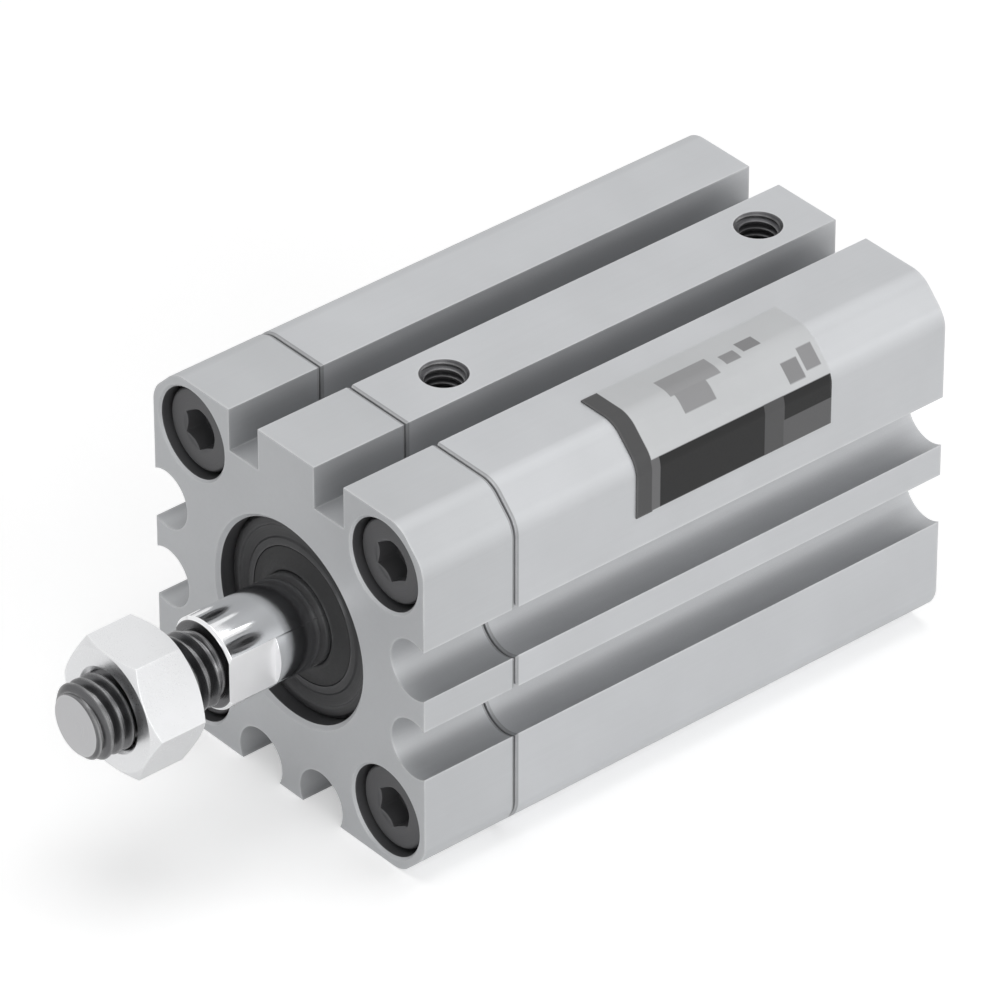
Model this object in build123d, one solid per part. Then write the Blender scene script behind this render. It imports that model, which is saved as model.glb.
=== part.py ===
from build123d import *
import os
from math import cos, pi, sin, tan

# Compact pneumatic cylinder with a square slotted body, built as an assembly. Sizes are in millimetres.
# The origin is the centre of the rear mounting face, on the bore axis. The rod points along -Y, the
# ports face +Z and the label is towards +X. A "station" is a distance forward of the rear face, so
# a station s lies at y = -s. The rod is drawn fully in, which is where its slide starts.

# Body outline, the same for the tube and the front housing
BODY_SIDE = 25.0
TURNED_DIAMETER = 32.5
TOP_SLOT_WIDTH = 2.7
TOP_SLOT_DEPTH = 2.9
TOP_SLOT_OFFSET = 3.95
GROOVE_DIAMETER = 4.0
GROOVE_DEPTH = 3.0
GROOVE_OFFSET = 2.85
EDGE_BREAK = 0.25

# Bore, stroke and the pieces that stack along the tube, from the rear face forward
BORE_DIAMETER = 12.0
STROKE = 10.0
RING_SETBACK = 0.9
RING_THICKNESS = 1.0
REAR_COVER_THICKNESS = 3.0
BUMPER_THICKNESS = 1.2
PISTON_REAR_LENGTH = 4.1
MAGNET_LENGTH = 2.6
PISTON_FRONT_LENGTH = 4.1
SPIGOT_LENGTH = 3.9
FLANGE_THICKNESS = 1.6
HOUSING_LENGTH = 7.0
COVER_SETBACK = 1.0

# Rear cover, its seat in the tube and the snap ring that holds it
REAR_SEAT_DIAMETER = 13.5
RING_GROOVE_DEPTH = 0.6
RING_BAND_WIDTH = 1.4
RING_LUG_DIAMETER = 2.2
RING_LUG_HOLE = 1.0
RING_LUG_ANGLE = 24.0
REAR_COVER_DISH_DIAMETER = 7.0
REAR_COVER_DISH_DEPTH = 0.8

# Rod cover
ROD_HOLE_PLAY = 0.15
NOSE_DIAMETER = 13.3
FLANGE_DIAMETER = 15.4
BUSH_DIAMETER = 8.0
BUSH_LENGTH = 6.0
BUSH_SETBACK = 0.4
ROD_SEAL_WIDTH = 2.0
ROD_SEAL_WALL = 1.6
ROD_SEAL_RIB = 0.6
WIPER_WIDTH = 1.3
WIPER_WALL = 1.5
WIPER_LIP = 0.3

# Piston
PISTON_PLAY = 0.15
PISTON_TAIL_DIAMETER = 4.0
PISTON_TAIL_CORE = 3.3
ROD_POCKET_DEPTH = 1.5
MAGNET_HUB_WALL = 1.4
MAGNET_INSET = 0.35
PISTON_SEAL_WIDTH = 2.0
PISTON_SEAL_DEPTH = 1.35
PISTON_SEAL_NOTCH = 0.45
WEAR_RING_WIDTH = 2.0
WEAR_RING_DEPTH = 0.75
WEAR_RING_SPLIT = 0.5
PISTON_NUT_FLATS = 7.0
PISTON_NUT_THICKNESS = 2.2
TAIL_STANDOUT = 0.1
PISTON_POCKET_DEPTH = 2.5
PISTON_EDGE_BREAK = 0.3

# Static rings, drawn as they lie when squeezed in their grooves
O_RING_WIDTH = 1.0
O_RING_GROOVE_WIDTH = 1.3
O_RING_GROOVE_DEPTH = 0.8
O_RING_PRESSED_WIDTH = 0.5

# Bumpers
BUMPER_PLAY = 0.5
BUMPER_WALL = 1.2
BUMPER_VENT_WIDTH = 1.4
BUMPER_VENT_DEPTH = 0.5
BUMPER_VENTS = 4

# Piston rod and its lock nut
ROD_DIAMETER = 6.0
ROD_REACH = 16.0
THREAD_DIAMETER = 5.0
THREAD_CORE = 4.2
THREAD_LENGTH = 9.5
THREAD_TIP_CHAMFER = 0.5
FLAT_SPAN = 5.0
FLAT_LENGTH = 3.5
ROD_SHOULDER_CHAMFER = 0.25
NUT_FLATS = 8.0
NUT_THICKNESS = 4.0
NUT_SETBACK = 2.4
NUT_CHAMFER_ANGLE = 30.0
NUT_BORE_CHAMFER = 0.4
NUT_MOUTH_ROOM = 0.15

# Corner screws that hold the front housing, and the tapped holes in the rear face
CORNER_PITCH = 17.8
SCREW_DIAMETER = 3.0
SCREW_CORE = 2.5
SCREW_LENGTH = 10.0
SCREW_HEAD_DIAMETER = 5.5
SCREW_HEAD_HEIGHT = 3.0
SCREW_SOCKET_FLATS = 2.5
SCREW_SOCKET_DEPTH = 1.5
SCREW_SUNK = 0.6
SCREW_HOLE_DIAMETER = 3.4
SCREW_TIP_ROOM = 1.0
COUNTERBORE_DIAMETER = 6.0
REAR_HOLE_DIAMETER = 3.3
REAR_HOLE_DEPTH = 8.0
REAR_HOLE_MOUTH = 4.0

# Air ports in the top face
PORT_DIAMETER = 2.5
PORT_DEPTH = 3.5
PORT_MOUTH_DIAMETER = 3.2
REAR_PORT_SETBACK = 0.9
FRONT_PORT_SETBACK = 0.4
ORIFICE_DIAMETER = 1.1
ORIFICE_INSET = 0.6

# Label round the upper right corner
LABEL_THICKNESS = 0.1
LABEL_TOP_EDGE = 7.5
LABEL_SIDE_EDGE = 6.8
LABEL_REAR = 9.3
LABEL_LENGTH = 15.4

# Clearances. Threads are plain: where two mesh, the outer one is drawn at its core and the inner one at
# its tapping size, and elsewhere a thread is drawn at its full size.
RUN_GAP = 0.03
SEAL_GAP = 0.05
SLIP_GAP = 0.02
STOP_GAP = 0.2
GROOVE_GAP = 0.05

# Stations of the stacked pieces
COVER_REAR = RING_SETBACK + RING_THICKNESS
CHAMBER_REAR = COVER_REAR + REAR_COVER_THICKNESS
REAR_BUMPER_FRONT = CHAMBER_REAR + BUMPER_THICKNESS
PISTON_REAR_FACE = REAR_BUMPER_FRONT + STOP_GAP
MAGNET_REAR = PISTON_REAR_FACE + PISTON_REAR_LENGTH
MAGNET_FRONT = MAGNET_REAR + MAGNET_LENGTH
PISTON_FRONT_FACE = MAGNET_FRONT + PISTON_FRONT_LENGTH
FRONT_BUMPER_REAR = PISTON_FRONT_FACE + STROKE + STOP_GAP
CHAMBER_FRONT = FRONT_BUMPER_REAR + BUMPER_THICKNESS
FLANGE_REAR = CHAMBER_FRONT + SPIGOT_LENGTH
TUBE_FRONT = FLANGE_REAR + FLANGE_THICKNESS
FRONT_FACE = TUBE_FRONT + HOUSING_LENGTH
NOSE_FRONT = FRONT_FACE - COVER_SETBACK
ROD_TIP = FRONT_FACE + ROD_REACH
THREAD_START = ROD_TIP - THREAD_LENGTH
NUT_FRONT = ROD_TIP - NUT_SETBACK
NUT_REAR = NUT_FRONT - NUT_THICKNESS

# Stations inside the rod cover, the rear cover and the piston
BUSH_REAR = CHAMBER_FRONT + BUSH_SETBACK
ROD_SEAL_REAR = BUSH_REAR + BUSH_LENGTH + ROD_SEAL_RIB
ROD_COVER_RING_MIDDLE = (CHAMBER_FRONT + FLANGE_REAR) / 2
REAR_COVER_RING_MIDDLE = (COVER_REAR + CHAMBER_REAR) / 2
ROD_SHOULDER = PISTON_FRONT_FACE - ROD_POCKET_DEPTH
PISTON_SEAL_MIDDLE = (MAGNET_FRONT + PISTON_FRONT_FACE) / 2
WEAR_RING_MIDDLE = (PISTON_REAR_FACE + MAGNET_REAR) / 2

# Radii that several pieces share
HALF_SIDE = BODY_SIDE / 2
BORE_RADIUS = BORE_DIAMETER / 2
ROD_RADIUS = ROD_DIAMETER / 2
TAIL_RADIUS = PISTON_TAIL_DIAMETER / 2
PISTON_RADIUS = BORE_RADIUS - PISTON_PLAY
REAR_SEAT_RADIUS = REAR_SEAT_DIAMETER / 2
ROD_HOLE_RADIUS = ROD_RADIUS + ROD_HOLE_PLAY
SCREW_HEAD_FRONT = FRONT_FACE - SCREW_SUNK
SCREW_HEAD_REAR = SCREW_HEAD_FRONT - SCREW_HEAD_HEIGHT
SCREW_TIP = SCREW_HEAD_REAR - SCREW_LENGTH


def turned(points):
    """Turn a closed outline of (radius, station) points about the bore axis."""
    outline = [(radius, -station) for radius, station in points]
    return revolve(make_face(Polyline(*outline, close=True)), axis=Axis.Y)


def ring(inner_radius, outer_radius, rear, front):
    """A plain ring, or a plain disc where the inner radius is 0."""
    return turned([(inner_radius, rear), (outer_radius, rear), (outer_radius, front), (inner_radius, front)])


def prism(outline, rear, front):
    """Extrude an outline drawn across the axis, x to the right and y up, between two stations."""
    return extrude(Plane.XZ.offset(rear) * outline, amount=front - rear)


def drill(start, end, diameter):
    """A straight round hole between two points."""
    way = Vector(*end) - Vector(*start)
    return Solid.make_cylinder(diameter / 2, way.length, Plane(origin=start, z_dir=way))


def corner_radius(flats):
    """Distance from the middle of a hexagon to its corners, from its width across flats."""
    return flats / 2 / cos(pi / 6)


def hexagon(flats):
    """A hexagon across the axis, with two of its flats level."""
    return RegularPolygon(corner_radius(flats), 6)


def squeezed_ring(inner_radius, outer_radius, middle):
    """An O-ring pressed between the bottom of its groove and the bore around it."""
    between = (inner_radius + outer_radius) / 2
    pressed = O_RING_PRESSED_WIDTH / 2
    profile = [
        (between, middle - O_RING_WIDTH / 2),
        (outer_radius, middle - pressed),
        (outer_radius, middle + pressed),
        (between, middle + O_RING_WIDTH / 2),
        (inner_radius, middle + pressed),
        (inner_radius, middle - pressed),
    ]
    return turned(profile)


def groove(outer_radius, depth, middle, width):
    """The cut of a groove turned into the outside of a round piece."""
    return ring(outer_radius - depth, outer_radius + 1, middle - width / 2, middle + width / 2)


def slots():
    """The cross-sections of the two straight slots on top and the round grooves on the other sides."""
    cuts = []
    for side in (-1, 1):
        middle = HALF_SIDE - TOP_SLOT_DEPTH / 2
        cuts.append(Pos(side * TOP_SLOT_OFFSET, middle) * Rectangle(TOP_SLOT_WIDTH, TOP_SLOT_DEPTH))
        for turn in (90, 180, 270):
            round_slot = Pos(side * GROOVE_OFFSET, HALF_SIDE - GROOVE_DEPTH + GROOVE_DIAMETER / 2)
            cuts.append(Rot(0, 0, turn) * round_slot * Circle(GROOVE_DIAMETER / 2))
    return cuts


def outline(grow=0.0):
    """The square section with its corners turned off, without the slots."""
    side = BODY_SIDE + 2 * grow
    return Rectangle(side, side) & Circle(TURNED_DIAMETER / 2 + grow)


def slotted_block(rear, front, joint_station):
    """A length of the slotted section, with the edges at its joint broken."""
    block = prism(outline() - slots(), rear, front)
    joint = block.faces().sort_by(lambda face: abs(face.center().Y + joint_station))[0]
    return chamfer(joint.outer_wire().edges(), EDGE_BREAK)


def corners(shape):
    """One copy of a cross-section at each corner hole."""
    return GridLocations(CORNER_PITCH, CORNER_PITCH, 2, 2) * shape


def corner_cut(diameter, rear, front):
    """The four corner holes between two stations."""
    return [prism(circle, rear, front) for circle in corners(Circle(diameter / 2))]


def rear_hole_mouths():
    """The countersinks of the four tapped holes in the rear face."""
    depth = (REAR_HOLE_MOUTH - REAR_HOLE_DIAMETER) / 2
    mouths = []
    for x in (-CORNER_PITCH / 2, CORNER_PITCH / 2):
        for z in (-CORNER_PITCH / 2, CORNER_PITCH / 2):
            base = Plane(origin=(x, 0, z), z_dir=(0, -1, 0))
            mouths.append(Solid.make_cone(REAR_HOLE_MOUTH / 2, REAR_HOLE_DIAMETER / 2, depth, base))
    return mouths


def port_cut(station, chamber_station):
    """A tapped port in the top face and the small slanted way from its bottom into the chamber."""
    top = (0, -station, HALF_SIDE)
    bottom = (0, -station, HALF_SIDE - PORT_DEPTH)
    mouth_depth = (PORT_MOUTH_DIAMETER - PORT_DIAMETER) / 2
    mouth_plane = Plane(origin=top, z_dir=(0, 0, -1))
    mouth = Solid.make_cone(PORT_MOUTH_DIAMETER / 2, PORT_DIAMETER / 2, mouth_depth, mouth_plane)
    way_start = (0, -station, HALF_SIDE - PORT_DEPTH + ORIFICE_DIAMETER / 2)
    way_end = (0, -chamber_station, BORE_RADIUS - ORIFICE_DIAMETER / 2)
    return [drill(top, bottom, PORT_DIAMETER), mouth, drill(way_start, way_end, ORIFICE_DIAMETER)]


def cylinder_tube():
    """The slotted extrusion with its bore, seats, ports and tapped corner holes."""
    tube = slotted_block(0, TUBE_FRONT, TUBE_FRONT)
    seat = ring(0, REAR_SEAT_RADIUS, 0, CHAMBER_REAR)
    ring_groove = ring(0, REAR_SEAT_RADIUS + RING_GROOVE_DEPTH, RING_SETBACK - GROOVE_GAP, COVER_REAR)
    flange_seat = ring(0, FLANGE_DIAMETER / 2 + SEAL_GAP, FLANGE_REAR, TUBE_FRONT)
    tube -= [ring(0, BORE_RADIUS, CHAMBER_REAR, FLANGE_REAR), seat, ring_groove, flange_seat]
    tube -= corner_cut(SCREW_CORE, SCREW_TIP - SCREW_TIP_ROOM, TUBE_FRONT)
    tube -= corner_cut(REAR_HOLE_DIAMETER, 0, REAR_HOLE_DEPTH)
    tube -= rear_hole_mouths()
    tube -= port_cut(CHAMBER_REAR - REAR_PORT_SETBACK, CHAMBER_REAR + ORIFICE_INSET)
    tube -= port_cut(CHAMBER_FRONT + FRONT_PORT_SETBACK, CHAMBER_FRONT - ORIFICE_INSET)
    return tube


def front_housing():
    """The bolted front block, open in the middle for the rod cover's nose."""
    block = slotted_block(TUBE_FRONT, FRONT_FACE, TUBE_FRONT)
    nose_hole = NOSE_DIAMETER / 2 + SEAL_GAP
    mouth = [
        (0, TUBE_FRONT),
        (nose_hole, TUBE_FRONT),
        (nose_hole, FRONT_FACE - EDGE_BREAK),
        (nose_hole + EDGE_BREAK, FRONT_FACE),
        (0, FRONT_FACE),
    ]
    block -= turned(mouth)
    block -= corner_cut(SCREW_HOLE_DIAMETER, TUBE_FRONT, FRONT_FACE)
    block -= corner_cut(COUNTERBORE_DIAMETER, SCREW_HEAD_REAR, FRONT_FACE)
    return block


def housing_screws():
    """Four socket head screws in the corner counterbores."""
    profile = [
        (0, SCREW_TIP),
        (SCREW_CORE / 2 - SLIP_GAP, SCREW_TIP),
        (SCREW_CORE / 2 - SLIP_GAP, TUBE_FRONT),
        (SCREW_DIAMETER / 2, TUBE_FRONT),
        (SCREW_DIAMETER / 2, SCREW_HEAD_REAR),
        (SCREW_HEAD_DIAMETER / 2, SCREW_HEAD_REAR),
        (SCREW_HEAD_DIAMETER / 2, SCREW_HEAD_FRONT),
        (0, SCREW_HEAD_FRONT),
    ]
    socket = prism(hexagon(SCREW_SOCKET_FLATS), SCREW_HEAD_FRONT - SCREW_SOCKET_DEPTH, SCREW_HEAD_FRONT)
    screw = turned(profile) - socket
    half = CORNER_PITCH / 2
    return [Pos(x, 0, z) * screw for x in (-half, half) for z in (-half, half)]


def rod_cover():
    """The dark collar that closes the bore and carries the bush, the rod seal and the wiper."""
    spigot = BORE_RADIUS - RUN_GAP
    nose = NOSE_DIAMETER / 2
    profile = [
        (ROD_HOLE_RADIUS, CHAMBER_FRONT),
        (spigot, CHAMBER_FRONT),
        (spigot, FLANGE_REAR),
        (FLANGE_DIAMETER / 2, FLANGE_REAR),
        (FLANGE_DIAMETER / 2, TUBE_FRONT),
        (nose, TUBE_FRONT),
        (nose, NOSE_FRONT - EDGE_BREAK),
        (nose - EDGE_BREAK, NOSE_FRONT),
        (ROD_HOLE_RADIUS, NOSE_FRONT),
    ]
    cover = turned(profile)
    cover -= groove(spigot, O_RING_GROOVE_DEPTH, ROD_COVER_RING_MIDDLE, O_RING_GROOVE_WIDTH)
    cover -= ring(0, BUSH_DIAMETER / 2, BUSH_REAR - BUSH_SETBACK, BUSH_REAR + BUSH_LENGTH)
    cover -= ring(0, ROD_RADIUS + ROD_SEAL_WALL, ROD_SEAL_REAR, ROD_SEAL_REAR + ROD_SEAL_WIDTH)
    cover -= ring(0, ROD_RADIUS + WIPER_WALL, NOSE_FRONT - WIPER_WIDTH, NOSE_FRONT)
    return cover


def rod_cover_o_ring():
    """The static ring between the rod cover's spigot and the bore."""
    inner = BORE_RADIUS - RUN_GAP - O_RING_GROOVE_DEPTH
    return squeezed_ring(inner, BORE_RADIUS, ROD_COVER_RING_MIDDLE)


def rod_bush():
    """The bronze bush that the rod slides in."""
    return ring(ROD_RADIUS + RUN_GAP, BUSH_DIAMETER / 2, BUSH_REAR, BUSH_REAR + BUSH_LENGTH)


def rod_seal():
    """A lip seal with its open side towards the pressure."""
    inner = ROD_RADIUS + RUN_GAP
    outer = ROD_RADIUS + ROD_SEAL_WALL
    front = ROD_SEAL_REAR + ROD_SEAL_WIDTH
    lip = ROD_SEAL_WALL / 4
    profile = [
        (inner, ROD_SEAL_REAR),
        (inner + lip, ROD_SEAL_REAR),
        ((inner + outer) / 2, ROD_SEAL_REAR + ROD_SEAL_WIDTH / 2),
        (outer - lip, ROD_SEAL_REAR),
        (outer, ROD_SEAL_REAR),
        (outer, front),
        (inner + lip, front),
        (inner, ROD_SEAL_REAR + ROD_SEAL_WIDTH / 2),
    ]
    return turned(profile)


def rod_wiper():
    """The wiper at the mouth of the rod cover, with its lip standing proud."""
    inner = ROD_RADIUS + RUN_GAP
    outer = ROD_RADIUS + WIPER_WALL
    rear = NOSE_FRONT - WIPER_WIDTH
    lip = WIPER_WALL / 3
    profile = [
        (inner + lip, rear),
        (outer, rear),
        (outer, NOSE_FRONT),
        (inner + 2 * lip, NOSE_FRONT),
        (inner + lip, NOSE_FRONT + WIPER_LIP),
        (inner, NOSE_FRONT + WIPER_LIP),
        (inner, NOSE_FRONT),
    ]
    return turned(profile)


def bumper(rear, front, vent_station):
    """A vented rubber ring that stops the piston, with its vents at one face."""
    outer = BORE_RADIUS - BUMPER_PLAY
    body = ring(outer - BUMPER_WALL, outer, rear, front)
    vent = Rectangle(BORE_DIAMETER, BUMPER_VENT_WIDTH)
    for index in range(BUMPER_VENTS // 2):
        turned_vent = Rot(0, 0, index * 360 / BUMPER_VENTS) * vent
        body -= prism(turned_vent, vent_station, vent_station + BUMPER_VENT_DEPTH)
    return body


def front_bumper():
    """The bumper on the rod cover's inner face."""
    return bumper(FRONT_BUMPER_REAR, CHAMBER_FRONT, FRONT_BUMPER_REAR)


def rear_bumper():
    """The bumper on the rear cover's inner face."""
    return bumper(CHAMBER_REAR, REAR_BUMPER_FRONT, REAR_BUMPER_FRONT - BUMPER_VENT_DEPTH)


def rear_cover():
    """The disc that closes the tube at the rear."""
    outer = REAR_SEAT_RADIUS - RUN_GAP
    dish = REAR_COVER_DISH_DIAMETER / 2
    profile = [
        (0, COVER_REAR + REAR_COVER_DISH_DEPTH),
        (dish - REAR_COVER_DISH_DEPTH / 2, COVER_REAR + REAR_COVER_DISH_DEPTH),
        (dish, COVER_REAR),
        (outer, COVER_REAR),
        (outer, CHAMBER_REAR),
        (0, CHAMBER_REAR),
    ]
    ring_cut = groove(outer, O_RING_GROOVE_DEPTH, REAR_COVER_RING_MIDDLE, O_RING_GROOVE_WIDTH)
    return turned(profile) - ring_cut


def rear_cover_o_ring():
    """The static ring round the rear cover."""
    inner = REAR_SEAT_RADIUS - RUN_GAP - O_RING_GROOVE_DEPTH
    return squeezed_ring(inner, REAR_SEAT_RADIUS, REAR_COVER_RING_MIDDLE)


def rear_snap_ring():
    """The inside snap ring, open at the bottom between its two eyes."""
    outer = REAR_SEAT_RADIUS + RING_GROOVE_DEPTH - GROOVE_GAP
    inner = outer - RING_BAND_WIDTH
    eye_radius = inner - RING_LUG_DIAMETER / 2 + RING_BAND_WIDTH / 2
    band = Circle(outer) - Circle(inner)
    opening = Pos(0, -outer) * Rectangle(2 * eye_radius * sin(RING_LUG_ANGLE * pi / 180), 2 * outer)
    band -= opening
    for side in (-1, 1):
        turn = side * RING_LUG_ANGLE * pi / 180
        eye = Pos(eye_radius * sin(turn), -eye_radius * cos(turn))
        band += eye * Circle(RING_LUG_DIAMETER / 2)
        band -= eye * Circle(RING_LUG_HOLE / 2)
    return prism(band, RING_SETBACK, COVER_REAR)


def piston_front():
    """The front half of the piston: seal groove, magnet hub and the pocket for the rod's shoulder."""
    hub = TAIL_RADIUS + MAGNET_HUB_WALL
    profile = [
        (TAIL_RADIUS + SLIP_GAP, MAGNET_REAR),
        (hub, MAGNET_REAR),
        (hub, MAGNET_FRONT),
        (PISTON_RADIUS, MAGNET_FRONT),
        (PISTON_RADIUS, PISTON_FRONT_FACE - PISTON_EDGE_BREAK),
        (PISTON_RADIUS - PISTON_EDGE_BREAK, PISTON_FRONT_FACE),
        (TAIL_RADIUS + SLIP_GAP, PISTON_FRONT_FACE),
    ]
    half = turned(profile)
    half -= groove(PISTON_RADIUS, PISTON_SEAL_DEPTH, PISTON_SEAL_MIDDLE, PISTON_SEAL_WIDTH + 2 * GROOVE_GAP)
    half -= ring(0, ROD_RADIUS + SLIP_GAP, ROD_SHOULDER - O_RING_WIDTH, PISTON_FRONT_FACE)
    return half


def piston_rear():
    """The rear half of the piston: wear ring groove and the pocket for the nut."""
    profile = [
        (TAIL_RADIUS + SLIP_GAP, PISTON_REAR_FACE),
        (PISTON_RADIUS - PISTON_EDGE_BREAK, PISTON_REAR_FACE),
        (PISTON_RADIUS, PISTON_REAR_FACE + PISTON_EDGE_BREAK),
        (PISTON_RADIUS, MAGNET_REAR),
        (TAIL_RADIUS + SLIP_GAP, MAGNET_REAR),
    ]
    half = turned(profile)
    half -= groove(PISTON_RADIUS, WEAR_RING_DEPTH, WEAR_RING_MIDDLE, WEAR_RING_WIDTH + 2 * GROOVE_GAP)
    pocket = corner_radius(PISTON_NUT_FLATS) + PISTON_PLAY
    half -= ring(0, pocket, PISTON_REAR_FACE, PISTON_REAR_FACE + PISTON_POCKET_DEPTH)
    return half


def magnet_ring():
    """The ring magnet that the sensors read, held between the piston halves."""
    inner = TAIL_RADIUS + MAGNET_HUB_WALL + SLIP_GAP
    return ring(inner, PISTON_RADIUS - MAGNET_INSET, MAGNET_REAR, MAGNET_FRONT)


def piston_seal():
    """The double-acting lip seal in the front half of the piston."""
    inner = PISTON_RADIUS - PISTON_SEAL_DEPTH + SEAL_GAP
    outer = BORE_RADIUS - SEAL_GAP
    half_width = PISTON_SEAL_WIDTH / 2
    lip = PISTON_SEAL_WIDTH / 5
    profile = [
        (inner, PISTON_SEAL_MIDDLE - half_width),
        (outer - PISTON_SEAL_NOTCH, PISTON_SEAL_MIDDLE - half_width),
        (outer, PISTON_SEAL_MIDDLE - half_width + lip),
        (outer - PISTON_SEAL_NOTCH, PISTON_SEAL_MIDDLE),
        (outer, PISTON_SEAL_MIDDLE + half_width - lip),
        (outer - PISTON_SEAL_NOTCH, PISTON_SEAL_MIDDLE + half_width),
        (inner, PISTON_SEAL_MIDDLE + half_width),
    ]
    return turned(profile)


def wear_ring():
    """The split plastic guide ring in the rear half of the piston."""
    inner = PISTON_RADIUS - WEAR_RING_DEPTH + SEAL_GAP
    outer = BORE_RADIUS - SEAL_GAP
    rear = WEAR_RING_MIDDLE - WEAR_RING_WIDTH / 2
    band = ring(inner, outer, rear, rear + WEAR_RING_WIDTH)
    split = Pos(0, BORE_RADIUS) * Rectangle(WEAR_RING_SPLIT, BORE_RADIUS)
    return band - prism(split, rear, rear + WEAR_RING_WIDTH)


def rod_o_ring():
    """The static ring under the rod's shoulder, inside the piston."""
    return squeezed_ring(TAIL_RADIUS, ROD_RADIUS + SLIP_GAP, ROD_SHOULDER - O_RING_WIDTH / 2)


def piston_nut():
    """The thin nut that clamps both piston halves and the magnet on the rod's tail."""
    front = PISTON_REAR_FACE + PISTON_POCKET_DEPTH
    nut = prism(hexagon(PISTON_NUT_FLATS), front - PISTON_NUT_THICKNESS, front)
    return nut - ring(0, PISTON_TAIL_CORE / 2 + SLIP_GAP, front - PISTON_NUT_THICKNESS, front)


def piston_rod():
    """The rod: threaded tail, shoulder, ground length, wrench flats and the thread at the front."""
    nut_seat = PISTON_REAR_FACE + PISTON_POCKET_DEPTH
    tail_end = nut_seat - PISTON_NUT_THICKNESS - TAIL_STANDOUT
    thread = THREAD_DIAMETER / 2
    profile = [
        (0, tail_end),
        (PISTON_TAIL_CORE / 2, tail_end),
        (PISTON_TAIL_CORE / 2, nut_seat),
        (TAIL_RADIUS, nut_seat),
        (TAIL_RADIUS, ROD_SHOULDER),
        (ROD_RADIUS, ROD_SHOULDER),
        (ROD_RADIUS, THREAD_START - ROD_SHOULDER_CHAMFER),
        (ROD_RADIUS - ROD_SHOULDER_CHAMFER, THREAD_START),
        (thread, THREAD_START),
        (thread, NUT_REAR),
        (THREAD_CORE / 2, NUT_REAR),
        (THREAD_CORE / 2, NUT_FRONT + NUT_MOUTH_ROOM),
        (thread, NUT_FRONT + NUT_MOUTH_ROOM),
        (thread, ROD_TIP - THREAD_TIP_CHAMFER),
        (thread - THREAD_TIP_CHAMFER, ROD_TIP),
        (0, ROD_TIP),
    ]
    rod = turned(profile)
    for side in (-1, 1):
        flat = Pos(side * (FLAT_SPAN + ROD_DIAMETER) / 2, 0) * Rectangle(ROD_DIAMETER, 2 * ROD_DIAMETER)
        rod -= prism(flat, THREAD_START - FLAT_LENGTH, THREAD_START)
    return rod


def rod_end_nut():
    """The hexagon lock nut on the rod's thread, chamfered on both faces."""
    corner = corner_radius(NUT_FLATS)
    relief = (corner - NUT_FLATS / 2) * tan(NUT_CHAMFER_ANGLE * pi / 180)
    barrel = [
        (0, NUT_REAR),
        (NUT_FLATS / 2, NUT_REAR),
        (corner, NUT_REAR + relief),
        (corner, NUT_FRONT - relief),
        (NUT_FLATS / 2, NUT_FRONT),
        (0, NUT_FRONT),
    ]
    bore = THREAD_CORE / 2 + RUN_GAP
    mouth = bore + NUT_BORE_CHAMFER
    hole = [
        (0, NUT_REAR),
        (mouth, NUT_REAR),
        (bore, NUT_REAR + NUT_BORE_CHAMFER),
        (bore, NUT_FRONT - NUT_BORE_CHAMFER),
        (mouth, NUT_FRONT),
        (0, NUT_FRONT),
    ]
    return (prism(hexagon(NUT_FLATS), NUT_REAR, NUT_FRONT) & turned(barrel)) - turned(hole)


def nameplate_label():
    """The thin label wrapped round the upper right corner of the tube."""
    film = outline(LABEL_THICKNESS) - outline()
    reach = BODY_SIDE
    window = Pos(LABEL_TOP_EDGE + reach / 2, LABEL_SIDE_EDGE + reach / 2) * Rectangle(reach, reach)
    return prism(film & window, LABEL_REAR, LABEL_REAR + LABEL_LENGTH)


NODES = {
    "cylinder_tube": cylinder_tube,
    "front_housing": front_housing,
    "housing_screws": housing_screws,
    "rod_cover": rod_cover,
    "rod_cover_o_ring": rod_cover_o_ring,
    "rod_bush": rod_bush,
    "rod_seal": rod_seal,
    "rod_wiper": rod_wiper,
    "front_bumper": front_bumper,
    "rear_bumper": rear_bumper,
    "rear_cover": rear_cover,
    "rear_cover_o_ring": rear_cover_o_ring,
    "rear_snap_ring": rear_snap_ring,
    "piston_front": piston_front,
    "piston_rear": piston_rear,
    "magnet_ring": magnet_ring,
    "piston_seal": piston_seal,
    "wear_ring": wear_ring,
    "rod_o_ring": rod_o_ring,
    "piston_nut": piston_nut,
    "piston_rod": piston_rod,
    "rod_end_nut": rod_end_nut,
    "nameplate_label": nameplate_label,
}

os.makedirs("parts", exist_ok=True)
for name, build in NODES.items():
    made = build()
    solids = made if isinstance(made, list) else [made]
    export_step(Compound(children=solids, label=name), f"parts/{name}.step")
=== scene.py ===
"""Looks of a compact pneumatic cylinder: a square slotted body, a bolted front housing and a sliding rod."""

import logging
import math
from collections.abc import Callable, Iterator
from contextlib import contextmanager
from dataclasses import dataclass, replace
from enum import Enum

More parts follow.
